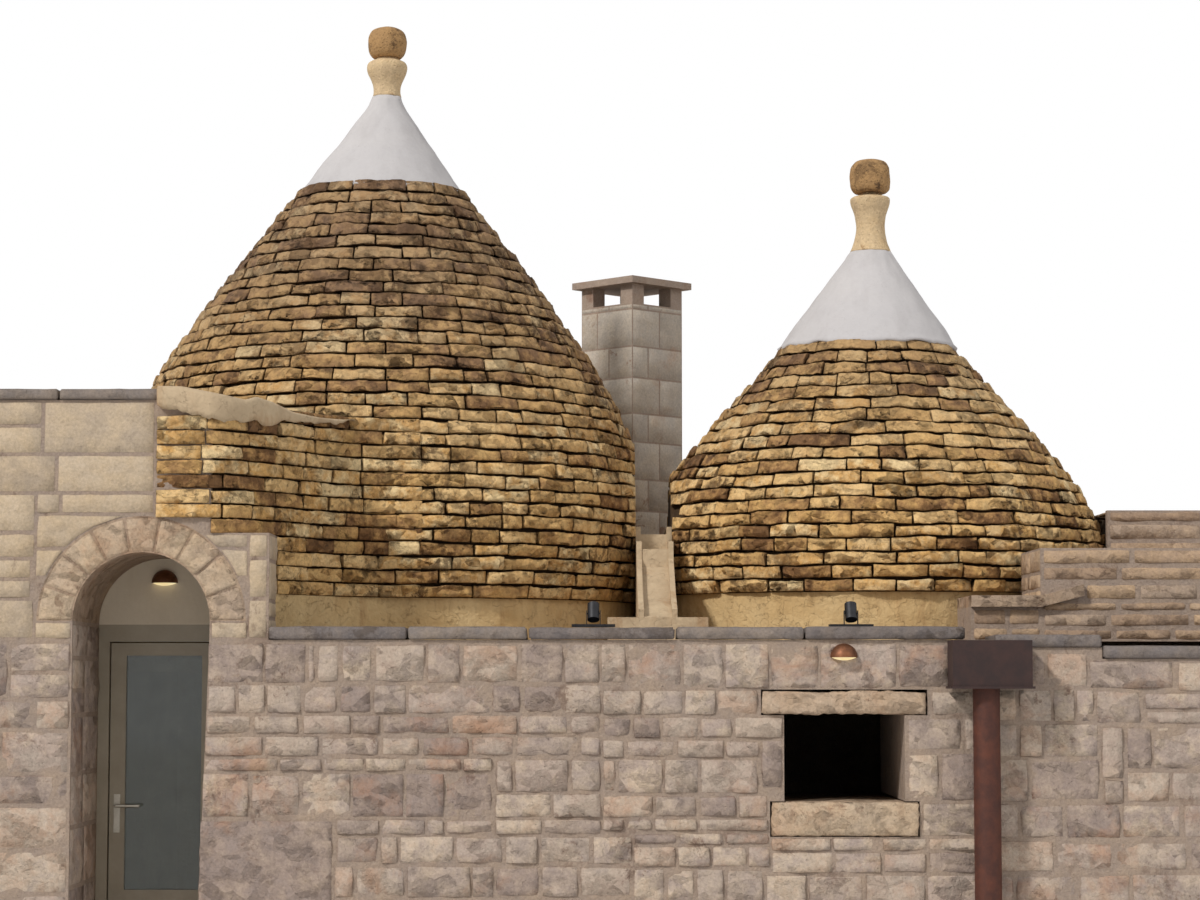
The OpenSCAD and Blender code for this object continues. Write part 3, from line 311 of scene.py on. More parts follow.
def glass_mat():
    m = Mat("door_glass", rough=0.04, spec=0.5)
    m.b.inputs["Transmission Weight"].default_value = 0.85
    m.b.inputs["IOR"].default_value = 1.45
    smear = m.noise(9, 4, 0.5)
    return m.done(m.mix(m.span(smear, 0.3, 0.7, 0.0, 0.4), lin(196, 206, 202), lin(222, 228, 224)),
                  m.bump(smear, 0.03, 0.002))


def lens_mat():
    m = Mat("lamp_lens", rough=0.3, spec=0.4)
    glow = m.noise(30, 3, 0.5)
    col = m.mix(m.span(glow, 0.3, 0.7), lin(255, 226, 160), lin(255, 238, 190))
    m.t.links.new(col, m.b.inputs["Emission Color"])
    m.b.inputs["Emission Strength"].default_value = 0.8
    return m.done(m.mix(m.span(glow, 0.3, 0.7), lin(120, 110, 90), lin(130, 120, 100)))


GLASS = glass_mat()
LENS = lens_mat()

USE = {
    MORTAR: "front_wall_left front_wall_right window_walls door_pier door_block end_walls "
            "back_wall high_side_wall",
    DRESSED: "window_lintel window_sill door_arch roof_ledge corner_slabs",
    COPING: "front_coping door_block_coping",
    INSIDE: "door_tympanum cross_wall",
    FLOOR: "door_threshold room_floors",
    FRAME_PAINT: "door_frame door_leaf door_panel",
    GLASS: "door_glass",
    SATIN: "handle_plates door_handle hinge_posts hinge_leaves",
    PLASTER: "shoulder_foot plaster_drums",
    ROOF: "shoulder_roof left_cone right_cone",
    CAP_PLASTER: "shoulder_cap valley_gutter",
    WHITE: "plaster_tips",
    PINNACLE: "pinnacles",
    CHIMNEY: "chimney_shaft chimney_posts chimney_cap",
    HOPPER: "rain_hopper",
    RUST: "downpipe",
    COPPER: "wall_lamps",
    BLACK: "spot_bases spot_head_left spot_head_right",
}
for material, names in USE.items():
    for name in names.split():
        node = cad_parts[name]
        node.data.materials.clear()
        node.data.materials.append(material)


# Mesh tools

class Stones:
    """Collects rough stones and stepped beds into one mesh, with a tint and a rim value."""

    def __init__(self, seed):
        self.rng = random.Random(seed)
        self.np = np.random.default_rng(seed)
        self.co, self.faces, self.tint, self.rim, self.n = [], [], [], [], 0

    def put(self, co, faces, tint=0.5, rim=None):
        self.co.append(co)
        self.faces += [[i + self.n for i in f] for f in faces]
        self.tint.append(np.full(len(co), tint))
        self.rim.append(np.ones(len(co)) if rim is None else rim)
        self.n += len(co)

    def stone(self, place, s0, s1, t0, t1, back, edge=0.012, relief=0.006, step=0.07,
              skew=0.004, wave=0.0, out=0.0):
        """One stone: a rough face on a grid, with sides that run back into the wall."""
        length, high = s1 - s0, t1 - t0
        if length < 0.025 or high < 0.02:
            return
        rng, nr = self.rng, self.np
        e = min(edge, 0.28 * length, 0.28 * high)
        nu = max(1, round((length - 2 * e) / step))
        nv = max(2 if step < 0.05 else 1, round((high - 2 * e) / step))
        u = np.concatenate(([0.0], np.linspace(e, length - e, nu + 1), [length]))
        v = np.concatenate(([0.0], np.linspace(e, high - e, nv + 1), [high]))
        S, T = np.meshgrid(u, v, indexing="ij")
        D = np.full(S.shape, -9.0)
        for k in range(1 + round(length / 0.13)):
            s_k = rng.uniform(0.1, 0.9) * length
            t_k = rng.uniform(0.25, 0.75) * high
            boss = np.full(S.shape, relief * rng.uniform(0.3, 1.0))
            turn = rng.uniform(0, 6.3)
            for q in range(6):
                a, slope = turn + q * 1.05 + rng.uniform(-0.3, 0.3), rng.uniform(0.08, 0.45)
                way = math.cos(a) * (S - s_k) * 0.6 + math.sin(a) * (T - t_k)
                boss = np.minimum(boss, relief * rng.uniform(0.4, 1.3) - slope * way)
            D = np.maximum(D, np.maximum(boss, -relief))
        D = D + nr.uniform(-0.2, 0.2, S.shape) * relief + out
        D[0, :] -= e * 0.9
        D[-1, :] -= e * 0.9
        D[:, 0] -= e * 0.9
        D[:, -1] -= e * 0.9
        S = S.copy()
        T = T.copy()
        slant = rng.uniform(-1, 1) * min(0.012, 0.1 * high) * np.linspace(-1, 1, len(v))
        S[0, :] += nr.uniform(0, skew, len(v)) + np.maximum(slant, 0)
        S[-1, :] -= nr.uniform(0, skew, len(v)) + np.maximum(-slant, 0)
        T[:, 0] += nr.uniform(0, skew, len(u))
        T[:, -1] -= nr.uniform(0, skew, len(u))
        for i, j in ((0, 0), (0, -1), (-1, 0), (-1, -1)):
            k = rng.uniform(0.1, 0.8) * e
            S[i, j] += k if i == 0 else -k
            T[i, j] += k if j == 0 else -k
        if wave:
            phase, k = rng.uniform(0, 6.3), rng.uniform(9, 30)
            top = wave * (0.5 + 0.5 * np.sin(phase + k * u)) + nr.uniform(0, wave * 0.4, len(u))
            T -= top[:, None] * (T / high) ** 3
        S, T = S + s0, T + t0
        m, w = len(v), len(u)
        front = place(S.ravel(), T.ravel(), D.ravel())
        cs = np.array([S[0, 0], S[0, -1], S[-1, -1], S[-1, 0]])
        ct = np.array([T[0, 0], T[0, -1], T[-1, -1], T[-1, 0]])
        co = np.vstack([front, place(cs, ct, np.full(4, -back))])
        rim = np.ones(S.shape)
        rim[0, :] = rim[-1, :] = 0
        rim[:, 0] = rim[:, -1] = 0
        g = np.arange(w * m).reshape(w, m)
        quads = np.stack([g[:-1, :-1], g[1:, :-1], g[1:, 1:], g[:-1, 1:]], -1).reshape(-1, 4)
        f = quads.tolist()
        bl, tl, tr, br = (w * m + k for k in range(4))
        f.append(g[::-1, 0].tolist() + [bl, br])
        f.append(g[:, -1].tolist() + [tr, tl])
        f.append(g[0, :].tolist() + [tl, bl])
        f.append(g[-1, ::-1].tolist() + [br, tr])
        f.append([bl, tl, tr, br])
        self.put(co, f, rng.random(), np.concatenate([rim.ravel(), np.zeros(4)]))

    def build(self, name, material, clip=None):
        co = np.vstack(self.co)
        if clip:
            clip(co)
        me = bpy.data.meshes.new(name)
        me.from_pydata(co.tolist(), [], self.faces)
        for key, values in (("tint", self.tint), ("rim", self.rim)):
            me.attributes.new(key, "FLOAT", "POINT").data.foreach_set(
                "value", np.concatenate(values).astype(np.float32))
        me.polygons.foreach_set("use_smooth", [True] * len(me.polygons))
        me.materials.append(material)
        me.validate()
        obj = bpy.data.objects.new(name, me)
        bpy.context.collection.objects.link(obj)
        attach(obj, "house")
        return obj


# along and out of a wall that faces the front, the back, the left and the right
FORWARD, BACKWARD = ((1, 0, 0), (0, -1, 0)), ((-1, 0, 0), (0, 1, 0))
LEFTWARD, RIGHTWARD = ((0, -1, 0), (-1, 0, 0)), ((0, 1, 0), (1, 0, 0))


def flat(origin, along, out):
    o, a, n = np.array(origin, float), np.array(along, float), np.array(out, float)
    up = np.array([0, 0, 1.0])
    return lambda s, t, d: o + np.outer(s, a) + np.outer(t, up) + np.outer(d, n)


def wander(rng, size=1.0):
    """Small rise and fall of a joint round the roof."""
    waves = [(k, rng.uniform(0, 6.3), h * size) for k, h in
             ((rng.randint(4, 9), 0.005), (rng.randint(14, 26), 0.0035), (rng.randint(40, 60), 0.002))]
    return lambda a: sum(h * np.sin(k * a + phase) for k, phase, h in waves)


def ring(cx, r, z, low, high, lean):
    """Round a roof's axis: s runs round from the front towards the right."""
    def place(s, t, d):
        a, share = s / r, t / COURSE
        q = r + d - lean * t
        return np.column_stack([cx + q * np.sin(a), -q * np.cos(a),
                                z + t + (1 - share) * low(a) + share * high(a)])
    return place


def along_path(points, z):
    """Along a line of points in plan, out to its right-hand side."""
    p = np.array(points, float)
    seg = np.diff(p, axis=0)
    length = np.concatenate(([0], np.cumsum(np.hypot(seg[:, 0], seg[:, 1]))))
    tangent = np.gradient(p, axis=0)
    tangent /= np.hypot(tangent[:, 0], tangent[:, 1])[:, None]

    def place(s, t, d):
        x, y = np.interp(s, length, p[:, 0]), np.interp(s, length, p[:, 1])
        tx, ty = np.interp(s, length, tangent[:, 0]), np.interp(s, length, tangent[:, 1])
        return np.column_stack([x + ty * d, y - tx * d, z + t])
    return place, length[-1]


def cut_row(rng, s0, s1, lo, hi):
    """Joints of a row: random lengths that fill it."""
    cuts = [s0]
    while s1 - cuts[-1] > hi:
        cuts.append(cuts[-1] + rng.triangular(lo, hi, (lo + hi) / 2.2))
    if s1 - cuts[-1] < lo * 0.6 and len(cuts) > 1:
        cuts.pop()
    return cuts + [s1]


def rubble(st, place, s0, s1, t0, t1, rows=(0.12, 0.22), lengths=(0.16, 0.44), gap=0.009,
           holes=(), edge=0.010, **how):
    """Coursed rubble over a rectangle of wall, leaving out the holes."""
    rng = st.rng
    how.setdefault("back", 0.05)
    how.setdefault("relief", 0.009)
    how.setdefault("out", 0.010)
    t = t0
    while t < t1 - 0.02:
        h = rng.uniform(*rows)
        if t1 - t - h < rows[0] * 0.7:
            h = t1 - t
        cuts = cut_row(rng, s0, s1, *lengths)
        for a, b in zip(cuts, cuts[1:]):
            parts = [(a, b, t, t + h)]
            for x0, x1, z0, z1 in holes:
                rest = []
                for p in parts:
                    if p[1] <= x0 or p[0] >= x1 or p[3] <= z0 or p[2] >= z1:
                        rest.append(p)
                        continue
                    if p[0] < x0:
                        rest.append((p[0], x0, p[2], p[3]))
                    if p[1] > x1:
                        rest.append((x1, p[1], p[2], p[3]))
                    if p[2] < z0:
                        rest.append((max(p[0], x0), min(p[1], x1), p[2], z0))
                    if p[3] > z1:
                        rest.append((max(p[0], x0), min(p[1], x1), z1, p[3]))
                parts = rest
            for p in parts:
                g = gap / 2
                if rng.random() < 0.12 and p[3] - p[2] > 0.17:
                    mid = (p[2] + p[3]) / 2 + rng.uniform(-0.02, 0.02)
                    st.stone(place, p[0] + g, p[1] - g, p[2] + g, mid - g, edge=edge, **how)
                    st.stone(place, p[0] + g, p[1] - g, mid + g, p[3] - g, edge=edge, **how)
                else:
                    st.stone(place, p[0] + g, p[1] - g, p[2] + g, p[3] - g, edge=edge, **how)
        t += h


# Roofs

def lean_of(radii, i):
    """How far the face of a course leans in, so that the courses follow the slope."""
    return 0.72 * (radii[max(i, 1) - 1] - radii[max(i, 1)]) / COURSE


def slabs_round(st, cx, base_z, radii, clear):
    """Courses of split slabs round a cone, left out where clear() says that they don't show."""
    rng = st.rng
    lines = [wander(rng, min(1.0, i / 2, (len(radii) - i) / 2)) for i in range(len(radii) + 1)]
    for i, r in enumerate(radii):
        around = 2 * math.pi * r
        start = rng.uniform(0, around)
        cuts = cut_row(rng, start, start + around, 0.12, 0.44)
        place = ring(cx, r, base_z + i * COURSE, lines[i], lines[i + 1], lean_of(radii, i))
        for a, b in zip(cuts, cuts[1:]):
            mid = ((a + b) / 2 / r + math.pi) % (2 * math.pi) - math.pi
            if clear(i, mid, r):
                continue
            top = COURSE - rng.uniform(0.0005, 0.005)
            st.stone(place, a + 0.0005, b - rng.uniform(0.0005, 0.0035),
                     rng.uniform(0.0, 0.003), top, back=0.11, edge=0.006, relief=0.018,
                     step=0.022 if abs(mid) < 1.65 else 0.045, skew=0.006,
                     wave=rng.uniform(0.001, 0.012), out=rng.uniform(-0.022, -0.004))


def skin(rows, n, closed=False):
    """Faces between rows of n points each; closed joins the last row to the first."""
    faces = []
    for i in range(rows if closed else rows - 1):
        k, l = i * n, (i + 1) % rows * n
        for j in range(n):
            q = (j + 1) % n
            faces.append([k + j, l + j, l + q, k + q])
    return faces


def revolve(st, outline, cx, segments=96):
    """A closed ring of revolution from its outline in r and z, counter-clockwise."""
    r, z = np.array(outline).T
    a = np.linspace(0, 2 * math.pi, segments, endpoint=False)
    co = np.stack([cx + np.outer(np.sin(a), r), -np.outer(np.cos(a), r),
                   np.tile(z, (segments, 1))], -1).reshape(-1, 3)
    st.put(co, skin(segments, len(outline), closed=True))


def shell_outline(radii, base_z, shell, inset):
    top = base_z + len(radii) * COURSE
    up = []
    for i, r in enumerate(radii):
        up += [(r - inset, base_z + i * COURSE),
               (r - inset - lean_of(radii, i) * COURSE, base_z + (i + 1) * COURSE)]
    down = []
    for i in range(len(radii) - 1, -1, -1):
        r = radii[i] - shell
        down += [(r, base_z + (i + 1) * COURSE), (r, base_z + i * COURSE)]
    return up + down


def keep_left(co):
    co[:, 0] = np.minimum(co[:, 0], GUTTER_X0)


def keep_right(co):
    co[:, 0] = np.maximum(co[:, 0], GUTTER_X1)


def left_hidden(i, a, r):
    inside_shoulder = i < SHOULDER_N and math.radians(-68) < a < math.radians(2)
    return inside_shoulder or LEFT_X + r * math.sin(a) > GUTTER_X0 + 0.06


def right_hidden(i, a, r):
    x, y = RIGHT_X + r * math.sin(a), -r * math.cos(a)
    z = RIGHT_Z + i * COURSE
    behind = (x > PARAPET_X0 + 0.1 and y > PARAPET_Y and z < PARAPET_Z - 0.15)
    return x < GUTTER_X1 - 0.06 or behind


slabs = Stones(11)
slabs_round(slabs, LEFT_X, LEFT_Z, LEFT_R, left_hidden)
slabs.build("left_roof_slabs", ROOF, keep_left)
core = Stones(12)
revolve(core, shell_outline(LEFT_R, LEFT_Z, LEFT_SHELL, 0.072), LEFT_X)
left_core = core.build("left_roof_bed", ROOF_BED_SHADE, keep_left)
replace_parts(left_core, "left_cone")
slabs = Stones(13)
slabs_round(slabs, RIGHT_X, RIGHT_Z, RIGHT_R, right_hidden)
slabs.build("right_roof_slabs", ROOF, keep_right)
core = Stones(14)
revolve(core, shell_outline(RIGHT_R, RIGHT_Z, RIGHT_SHELL, 0.072), RIGHT_X)
right_core = core.build("right_roof_bed", ROOF_BED_SHADE, keep_right)
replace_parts(right_core, "right_cone")


# Shoulder

MERGE_A, MERGE_DIP, MERGE_REACH = math.radians(6), math.radians(12), 0.45


def sweep(front_y, r, steps=40):
    """Front line of a shoulder course, from the block over the door back onto the cone."""
    end = np.array([LEFT_X + r * math.sin(MERGE_A), -r * math.cos(MERGE_A)])
    way = np.array([math.cos(MERGE_A + MERGE_DIP), math.sin(MERGE_A + MERGE_DIP)])
    p = [np.array([NICHE_X1, front_y]), np.array([BLOCK_X1, front_y]), end - MERGE_REACH * way, end]
    t = np.linspace(0, 1, steps)[:, None]
    return ((1 - t) ** 3 * p[0] + 3 * (1 - t) ** 2 * t * p[1] + 3 * (1 - t) * t ** 2 * p[2]
            + t ** 3 * p[3])


def prism(st, plan, z0, z1):
    n = len(plan)
    co = np.vstack([np.column_stack([plan, np.full(n, z)]) for z in (z0, z1)])
    faces = [list(range(n))[::-1], list(range(n, 2 * n))]
    faces += [[i, (i + 1) % n, n + (i + 1) % n, n + i] for i in range(n)]
    st.put(co, faces)


def build_shoulder():
    st, bed = Stones(21), Stones(22)
    rng = st.rng
    for i in range(SHOULDER_N):
        z, r, front = LEFT_Z + i * COURSE, LEFT_R[i], -HALF_D + 0.004 * i
        line = sweep(front, r)
        if i < QUOIN_N:
            line = line[line[:, 0] > BLOCK_X1]
        line[:, 1] -= np.interp(line[:, 0], [NICHE_X1, -1.8], [0.022 + 0.004 * i, 0.0])
        if i > QUOIN_N:
            line = np.vstack([[[-2.34, -HALF_D - 0.022], [-2.16, -HALF_D - 0.022]], line])
        # the slabs run a little round the cone, so that the courses share their joints
        tail = [[LEFT_X + r * math.sin(a), -r * math.cos(a)] for a in (0.16, 0.22)]
        place, length = along_path(np.vstack([line, tail]), z)
        cuts = cut_row(rng, 0.0, length, 0.15, 0.42)
        for a, b in zip(cuts, cuts[1:]):
            if i == SHOULDER_N - 1 and b < 0.65:
                continue
            snug = 0.004 if b < 0.35 else 0.0
            st.stone(place, a, b - 0.0025 + snug, 0.001 - snug, COURSE - 0.001, back=0.12, edge=0.006,
                     relief=0.014, step=0.024, skew=0.005, wave=rng.uniform(0.001, 0.009),
                     out=rng.uniform(-0.014, 0.0) + 2 * snug)
        foot = np.array([LEFT_X - (r - 0.04) * math.sin(math.radians(66)),
                         -(r - 0.04) * math.cos(math.radians(66))])
        bend, end = np.array([-HALF_W + 0.02, -1.1]), np.array([-HALF_W + 0.02, DOOR_BACK])
        for p, q in ((foot, bend), (bend, end)):
            run = q - p
            span = float(np.hypot(*run))
            way = run / span
            back_face = flat((p[0], p[1], z), (way[0], way[1], 0), (way[1], -way[0], 0))
            cuts = cut_row(rng, 0.0, span, 0.15, 0.42)
            for a, b in zip(cuts, cuts[1:]):
                st.stone(back_face, a + 0.0005, b - 0.0025, 0.001, COURSE - 0.001, back=0.10,
                         edge=0.006, relief=0.014, step=0.045, skew=0.005,
                         wave=rng.uniform(0.001, 0.009), out=rng.uniform(-0.004, 0.006))
        inner = [[LEFT_X + (r - 0.2) * math.sin(a), -(r - 0.2) * math.cos(a)]
                 for a in np.radians(np.linspace(6, -66, 14))]
        normal = np.gradient(line, axis=0)
        normal /= np.hypot(normal[:, 0], normal[:, 1])[:, None]
        inset = line - 0.07 * np.column_stack([normal[:, 1], -normal[:, 0]])
        start = [[-HALF_W + 0.07, -1.12], [-HALF_W + 0.07, DOOR_BACK], [inset[0][0], DOOR_BACK]]
        prism(bed, np.vstack([start, inset, inner]), z, z + COURSE)
    st.build("shoulder_slabs", ROOF)
    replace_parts(bed.build("shoulder_bed", ROOF_BED_SHADE), "shoulder_roof")


RIDGE_TOP = [(-2.34, 3.300), (-2.21, 3.297), (-2.03, 3.262), (-1.89, 3.238), (-1.84, 3.262),
             (-1.77, 3.246), (-1.67, 3.206), (-1.56, 3.198), (-1.42, 3.200), (-1.36, 3.205)]
RIDGE_LOW = [(-2.34, 3.195), (-2.17, 3.150), (-2.0, 3.108), (-1.9, 3.124), (-1.81, 3.112),
             (-1.67, 3.152), (-1.56, 3.160), (-1.42, 3.185), (-1.36, 3.195)]


def build_ridge():
    """Plaster laid over the top of the shoulder, thinning out to the right."""
    st = Stones(23)
    line = sweep(-HALF_D + 0.004 * SHOULDER_N, LEFT_R[SHOULDER_N - 1])
    xs = np.linspace(-2.335, -1.375, 64)
    ring_n, co = 14, []
    for x in xs:
        y0 = np.interp(x, line[:, 0], line[:, 1]) - np.interp(x, [-2.05, -1.8], [0.084, 0.012])
        r = LEFT_R[SHOULDER_N] - 0.02
        y1 = -math.sqrt(max(r * r - (x - LEFT_X) ** 2, 0.02))
        top, low = (np.interp(x, *zip(*k)) for k in (RIDGE_TOP, RIDGE_LOW))
        low += 0.022 * noise.noise(Vector((x * 16, 3.1, 0))) + 0.012 * noise.noise(Vector((x * 50, 7.7, 0)))
        thin = np.interp(x, [-1.55, -1.375], [1, 0.25])
        loop = [(y0 + 0.05, low + 0.004), (y0 - 0.004, low)]
        for k, (bulge, share) in enumerate(((0.012, 0.2), (0.016, 0.5), (0.011, 0.8))):
            wobble = 0.012 * noise.noise(Vector((x * 7, k * 1.7, 2.0)))
            loop.append((y0 - (bulge + wobble) * thin, low + share * (top - low)))
        loop += [(y0 + 0.004, top - 0.006), (y0 + 0.03, top)]
        for k, share in enumerate((0.2, 0.4, 0.6, 0.8, 1.0)):
            lump = 0.018 * noise.noise(Vector((x * 5, share * 6, 5.0)))
            loop.append((y0 + 0.03 + share * (y1 - y0 - 0.03), top + lump * (1 - share)))
        loop += [(y1, BLOCK_H - 0.05), (y0 + 0.05, BLOCK_H - 0.05)]
        co += [(x, y, z) for y, z in loop]
    r = LEFT_R[SHOULDER_N - 1] - 0.1
    plan = [[-HALF_W + 0.07, -1.12], [-HALF_W + 0.07, DOOR_BACK], [-2.34, DOOR_BACK]]
    plan += [[LEFT_X + r * math.sin(a), -r * math.cos(a)] for a in np.radians(np.linspace(-48, -66, 8))]
    prism(st, np.array(plan), BLOCK_H - 0.02, BLOCK_H + 0.014)
    last = (len(xs) - 1) * ring_n
    faces = skin(len(xs), ring_n) + [list(range(ring_n)), [last + j for j in range(ring_n)][::-1]]
    st.put(np.array(co), faces)
    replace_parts(st.build("shoulder_plaster", CAP_PLASTER), "shoulder_cap")


build_shoulder()
build_ridge()


# Tips and pinnacles

LEFT_NECK = [(0.091, 5.384), (0.085, 5.41), (0.084, 5.45), (0.094, 5.485), (0.110, 5.51),
             (0.126, 5.55), (0.128, 5.58), (0.115, 5.605), (0.075, 5.619)]
LEFT_BALL = [(0.088, 5.633), (0.108, 5.648), (0.118, 5.68), (0.122, 5.712), (0.119, 5.76),
             (0.104, 5.795), (0.075, 5.817), (0.035, 5.828)]
RIGHT_NECK = [(0.128, 4.405), (0.109, 4.446), (0.096, 4.497), (0.088, 4.547), (0.090, 4.598),
              (0.100, 4.648), (0.117, 4.69), (0.124, 4.725), (0.124, 4.75), (0.055, 4.762)]
RIGHT_BALL = [(0.096, 4.778), (0.115, 4.79), (0.125, 4.825), (0.127, 4.88), (0.125, 4.92),
              (0.115, 4.955), (0.090, 4.978), (0.045, 4.988)]
LEFT_TIP = [(0.522, 4.745), (0.481, 4.803), (0.416, 4.897), (0.350, 4.991), (0.275, 5.086),
            (0.216, 5.180), (0.157, 5.255), (0.122, 5.306), (0.100, 5.355), (0.091, 5.384)]
RIGHT_TIP = [(0.552, 3.790), (0.490, 3.895), (0.425, 3.985), (0.358, 4.075), (0.294, 4.166),
             (0.232, 4.256), (0.168, 4.345), (0.138, 4.390), (0.128, 4.405)]


def smooth(points, step):
    """A finer outline through the points, with softened corners."""
    p = np.array(points, float)
    d = np.concatenate(([0], np.cumsum(np.hypot(*np.diff(p, axis=0).T))))
    s = np.linspace(0, d[-1], max(6, int(d[-1] / step)))
    q = np.column_stack([np.interp(s, d, p[:, 0]), np.interp(s, d, p[:, 1])])
    for _ in range(2):
        q[1:-1] = (q[:-2] + 2 * q[1:-1] + q[2:]) / 4
    return q


def turned(st, outline, cx, rough, seed, segments=72, ragged=0.0):
    """A solid of revolution with an uneven, hand-made surface."""
    out = np.array(outline)
    n = len(out)
    co = []
    for i in range(segments):
        a = 2 * math.pi * i / segments
        c, s = math.cos(a), math.sin(a)
        for j, (r, z) in enumerate(out):
            k = noise.noise(Vector((c * 1.7 * (r + 0.3) * 4, s * 1.7 * (r + 0.3) * 4, z * 7 + seed)))
            f = noise.noise(Vector((c * r * 30, s * r * 30, z * 30 + seed)))
            rr = r + rough * (k + 0.5 * f)
            drop = 0.0
            if ragged and j < 4:
                drop = ragged * (noise.noise(Vector((c * 3, s * 3, seed))) +
                                 0.6 * noise.noise(Vector((c * 11, s * 11, seed)))) * (1 - j / 4)
            co.append((cx + rr * s, -rr * c, z + drop))
    bottom, top = len(co), len(co) + 1
    co += [(cx, 0, out[0][1] + 0.05 * bool(ragged)), (cx, 0, out[-1][1])]
    faces = []
    for i in range(segments):
        k, l = i * n, (i + 1) % segments * n
        faces += [[k + j, l + j, l + j + 1, k + j + 1] for j in range(n - 1)]
        faces += [[bottom, l, k], [top, k + n - 1, l + n - 1]]
    st.put(np.array(co), faces)


def build_tips():
    tips, tops, balls = Stones(31), Stones(32), Stones(33)
    for cx, tip, neck, ball, seed in ((LEFT_X, LEFT_TIP, LEFT_NECK, LEFT_BALL, 3.0),
                                      (RIGHT_X, RIGHT_TIP, RIGHT_NECK, RIGHT_BALL, 8.0)):
        (foot, z0), (stem, z1) = tip[0], neck[-1]
        line = [[foot - 0.05, z0 - 0.006], [foot - 0.004, z0 - 0.008], [foot + 0.004, z0 + 0.006]]
        turned(tips, np.vstack([line, smooth(tip, 0.03)[1:]]), cx, 0.006, seed, 96, ragged=0.03)
        gap = ball[0][1]
        turned(tops, np.vstack([smooth(neck, 0.012), [[stem * 0.9, gap]]]), cx, 0.004, seed + 20, 64)
        turned(balls, smooth(ball, 0.014), cx, 0.006, seed + 30, 64)
    # the tips lean a little
    for st in (tips, tops, balls):
        for co, base in zip(st.co, (LEFT_TOP, RIGHT_TOP)):
            co[:, 0] += 0.026 * np.clip((co[:, 2] - base) / 0.6, 0, 1)
    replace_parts(tips.build("lime_tips", WHITE), "plaster_tips")
    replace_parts(tops.build("stone_pinnacles", PINNACLE), "pinnacles")
    balls.build("pinnacle_balls", BALL)


build_tips()


# Walls

FRONT = flat((0, -HALF_D, 0), *FORWARD)
FRONT_ROWS = [
    (1.734, 1.940, [-2.05, -1.76, -1.54, -1.49, -1.36, -1.19, -0.91, -0.73, -0.42, -0.19, 0.0, 0.14]),
    (1.575, 1.727, [-2.05, -1.9, -1.75, -1.56, -1.37, -1.19, -1.01, -0.57, -0.41, -0.19, 0.01]),
    (1.467, 1.568, [-1.56, -1.3, -1.15, -0.78, -0.43, -0.16, 0.01]),
    (1.467, 1.568, [-2.05, -1.82, -1.57]),
    (1.352, 1.457, [-2.06, -1.76, -1.47, -1.15, -0.94, -0.68, -0.44, -0.11, 0.01]),
    (1.275, 1.342, [-2.06, -1.68, -1.45, -1.23, -1.01, -0.72, -0.56]),
    (1.034, 1.264, [-2.09, -1.83, -1.56, -1.3, -1.02, -0.81, -0.56]),
    (1.164, 1.337, [-0.55, -0.45, -0.16, 0.01]),
    (1.034, 1.157, [-0.55, -0.25, 0.01]),
    (0.946, 1.024, [-1.38, -1.15, -0.91, -0.81, -0.55, -0.3, 0.01]),
    (0.793, 0.938, [-1.38, -1.15, -1.05, -0.76, -0.5, -0.32, -0.04, 0.17]),
    (0.620, 0.782, [-1.39, -1.28, -1.01, -0.67, -0.55, -0.31, -0.11, 0.17]),
    (0.560, 1.020, [-2.12, -1.39]),
    (1.705, 1.942, [0.14, 0.43, 0.65, 0.89, 1.15, 1.56, 1.85, 1.98]),
    (1.568, 1.697, [0.01, 0.22, 0.44, 0.61, 0.83]),
    (1.562, 1.697, [1.73, 1.98]),
    (1.447, 1.557, [0.01, 0.17, 0.32, 0.52, 0.7, 0.96]),
    (1.345, 1.438, [0.01, 0.13, 0.4, 0.65, 0.84]),
    (1.185, 1.438, [0.84, 0.96]),
    (1.378, 1.554, [1.6, 1.9, 1.98]),
    (1.123, 1.370, [1.6, 1.78, 1.98]),
    (1.158, 1.337, [0.01, 0.09, 0.33, 0.52, 0.83]),
    (1.034, 1.149, [0.01, 0.28, 0.51, 0.72, 0.88]),
    (0.965, 1.028, [0.01, 0.13, 0.28, 0.51, 0.88]),
    (0.937, 1.108, [1.68, 1.98]),
    (0.893, 0.954, [0.17, 0.41, 0.65, 0.89]),
    (0.862, 0.928, [0.89, 1.21, 1.47, 1.71, 1.98]),
    (0.779, 0.885, [0.17, 0.4, 0.58, 0.77, 0.89]),
    (0.745, 0.855, [0.89, 1.22, 1.47, 1.71, 1.98]),
    (0.593, 0.770, [0.17, 0.34, 0.5, 0.65, 0.86]),
    (0.560, 0.738, [0.86, 1.08, 1.38, 1.7, 1.98]),
    (1.713, 1.891, [1.99, 2.23, 2.34, 2.56]),
    (1.705, 1.850, [2.56, 3.01]),
    (1.686, 1.850, [3.02, 3.21, 3.45, 3.6]),
    (1.530, 1.700, [1.99, 2.19, 2.37, 2.49, 2.59]),
    (1.517, 1.697, [2.59, 2.84]),
    (1.600, 1.680, [2.85, 3.17, 3.43, 3.6]),
    (1.517, 1.592, [2.85, 3.25, 3.6]),
    (1.348, 1.520, [1.99, 2.19, 2.32, 2.61]),
    (1.237, 1.503, [2.62, 2.74]),
    (1.283, 1.503, [2.75, 2.89, 3.17, 3.42, 3.6]),
    (1.116, 1.339, [1.99, 2.24, 2.62]),
    (1.106, 1.229, [2.63, 2.74]),
    (1.114, 1.272, [2.75, 2.98, 3.2, 3.6]),
    (0.925, 1.103, [1.99, 2.19, 2.43, 2.72, 3.04, 3.3, 3.6]),
    (0.756, 0.912, [1.99, 2.37, 2.68, 3.07, 3.38, 3.6]),
    (0.573, 0.740, [1.99, 2.16, 2.49, 2.77, 3.17, 3.6]),
]


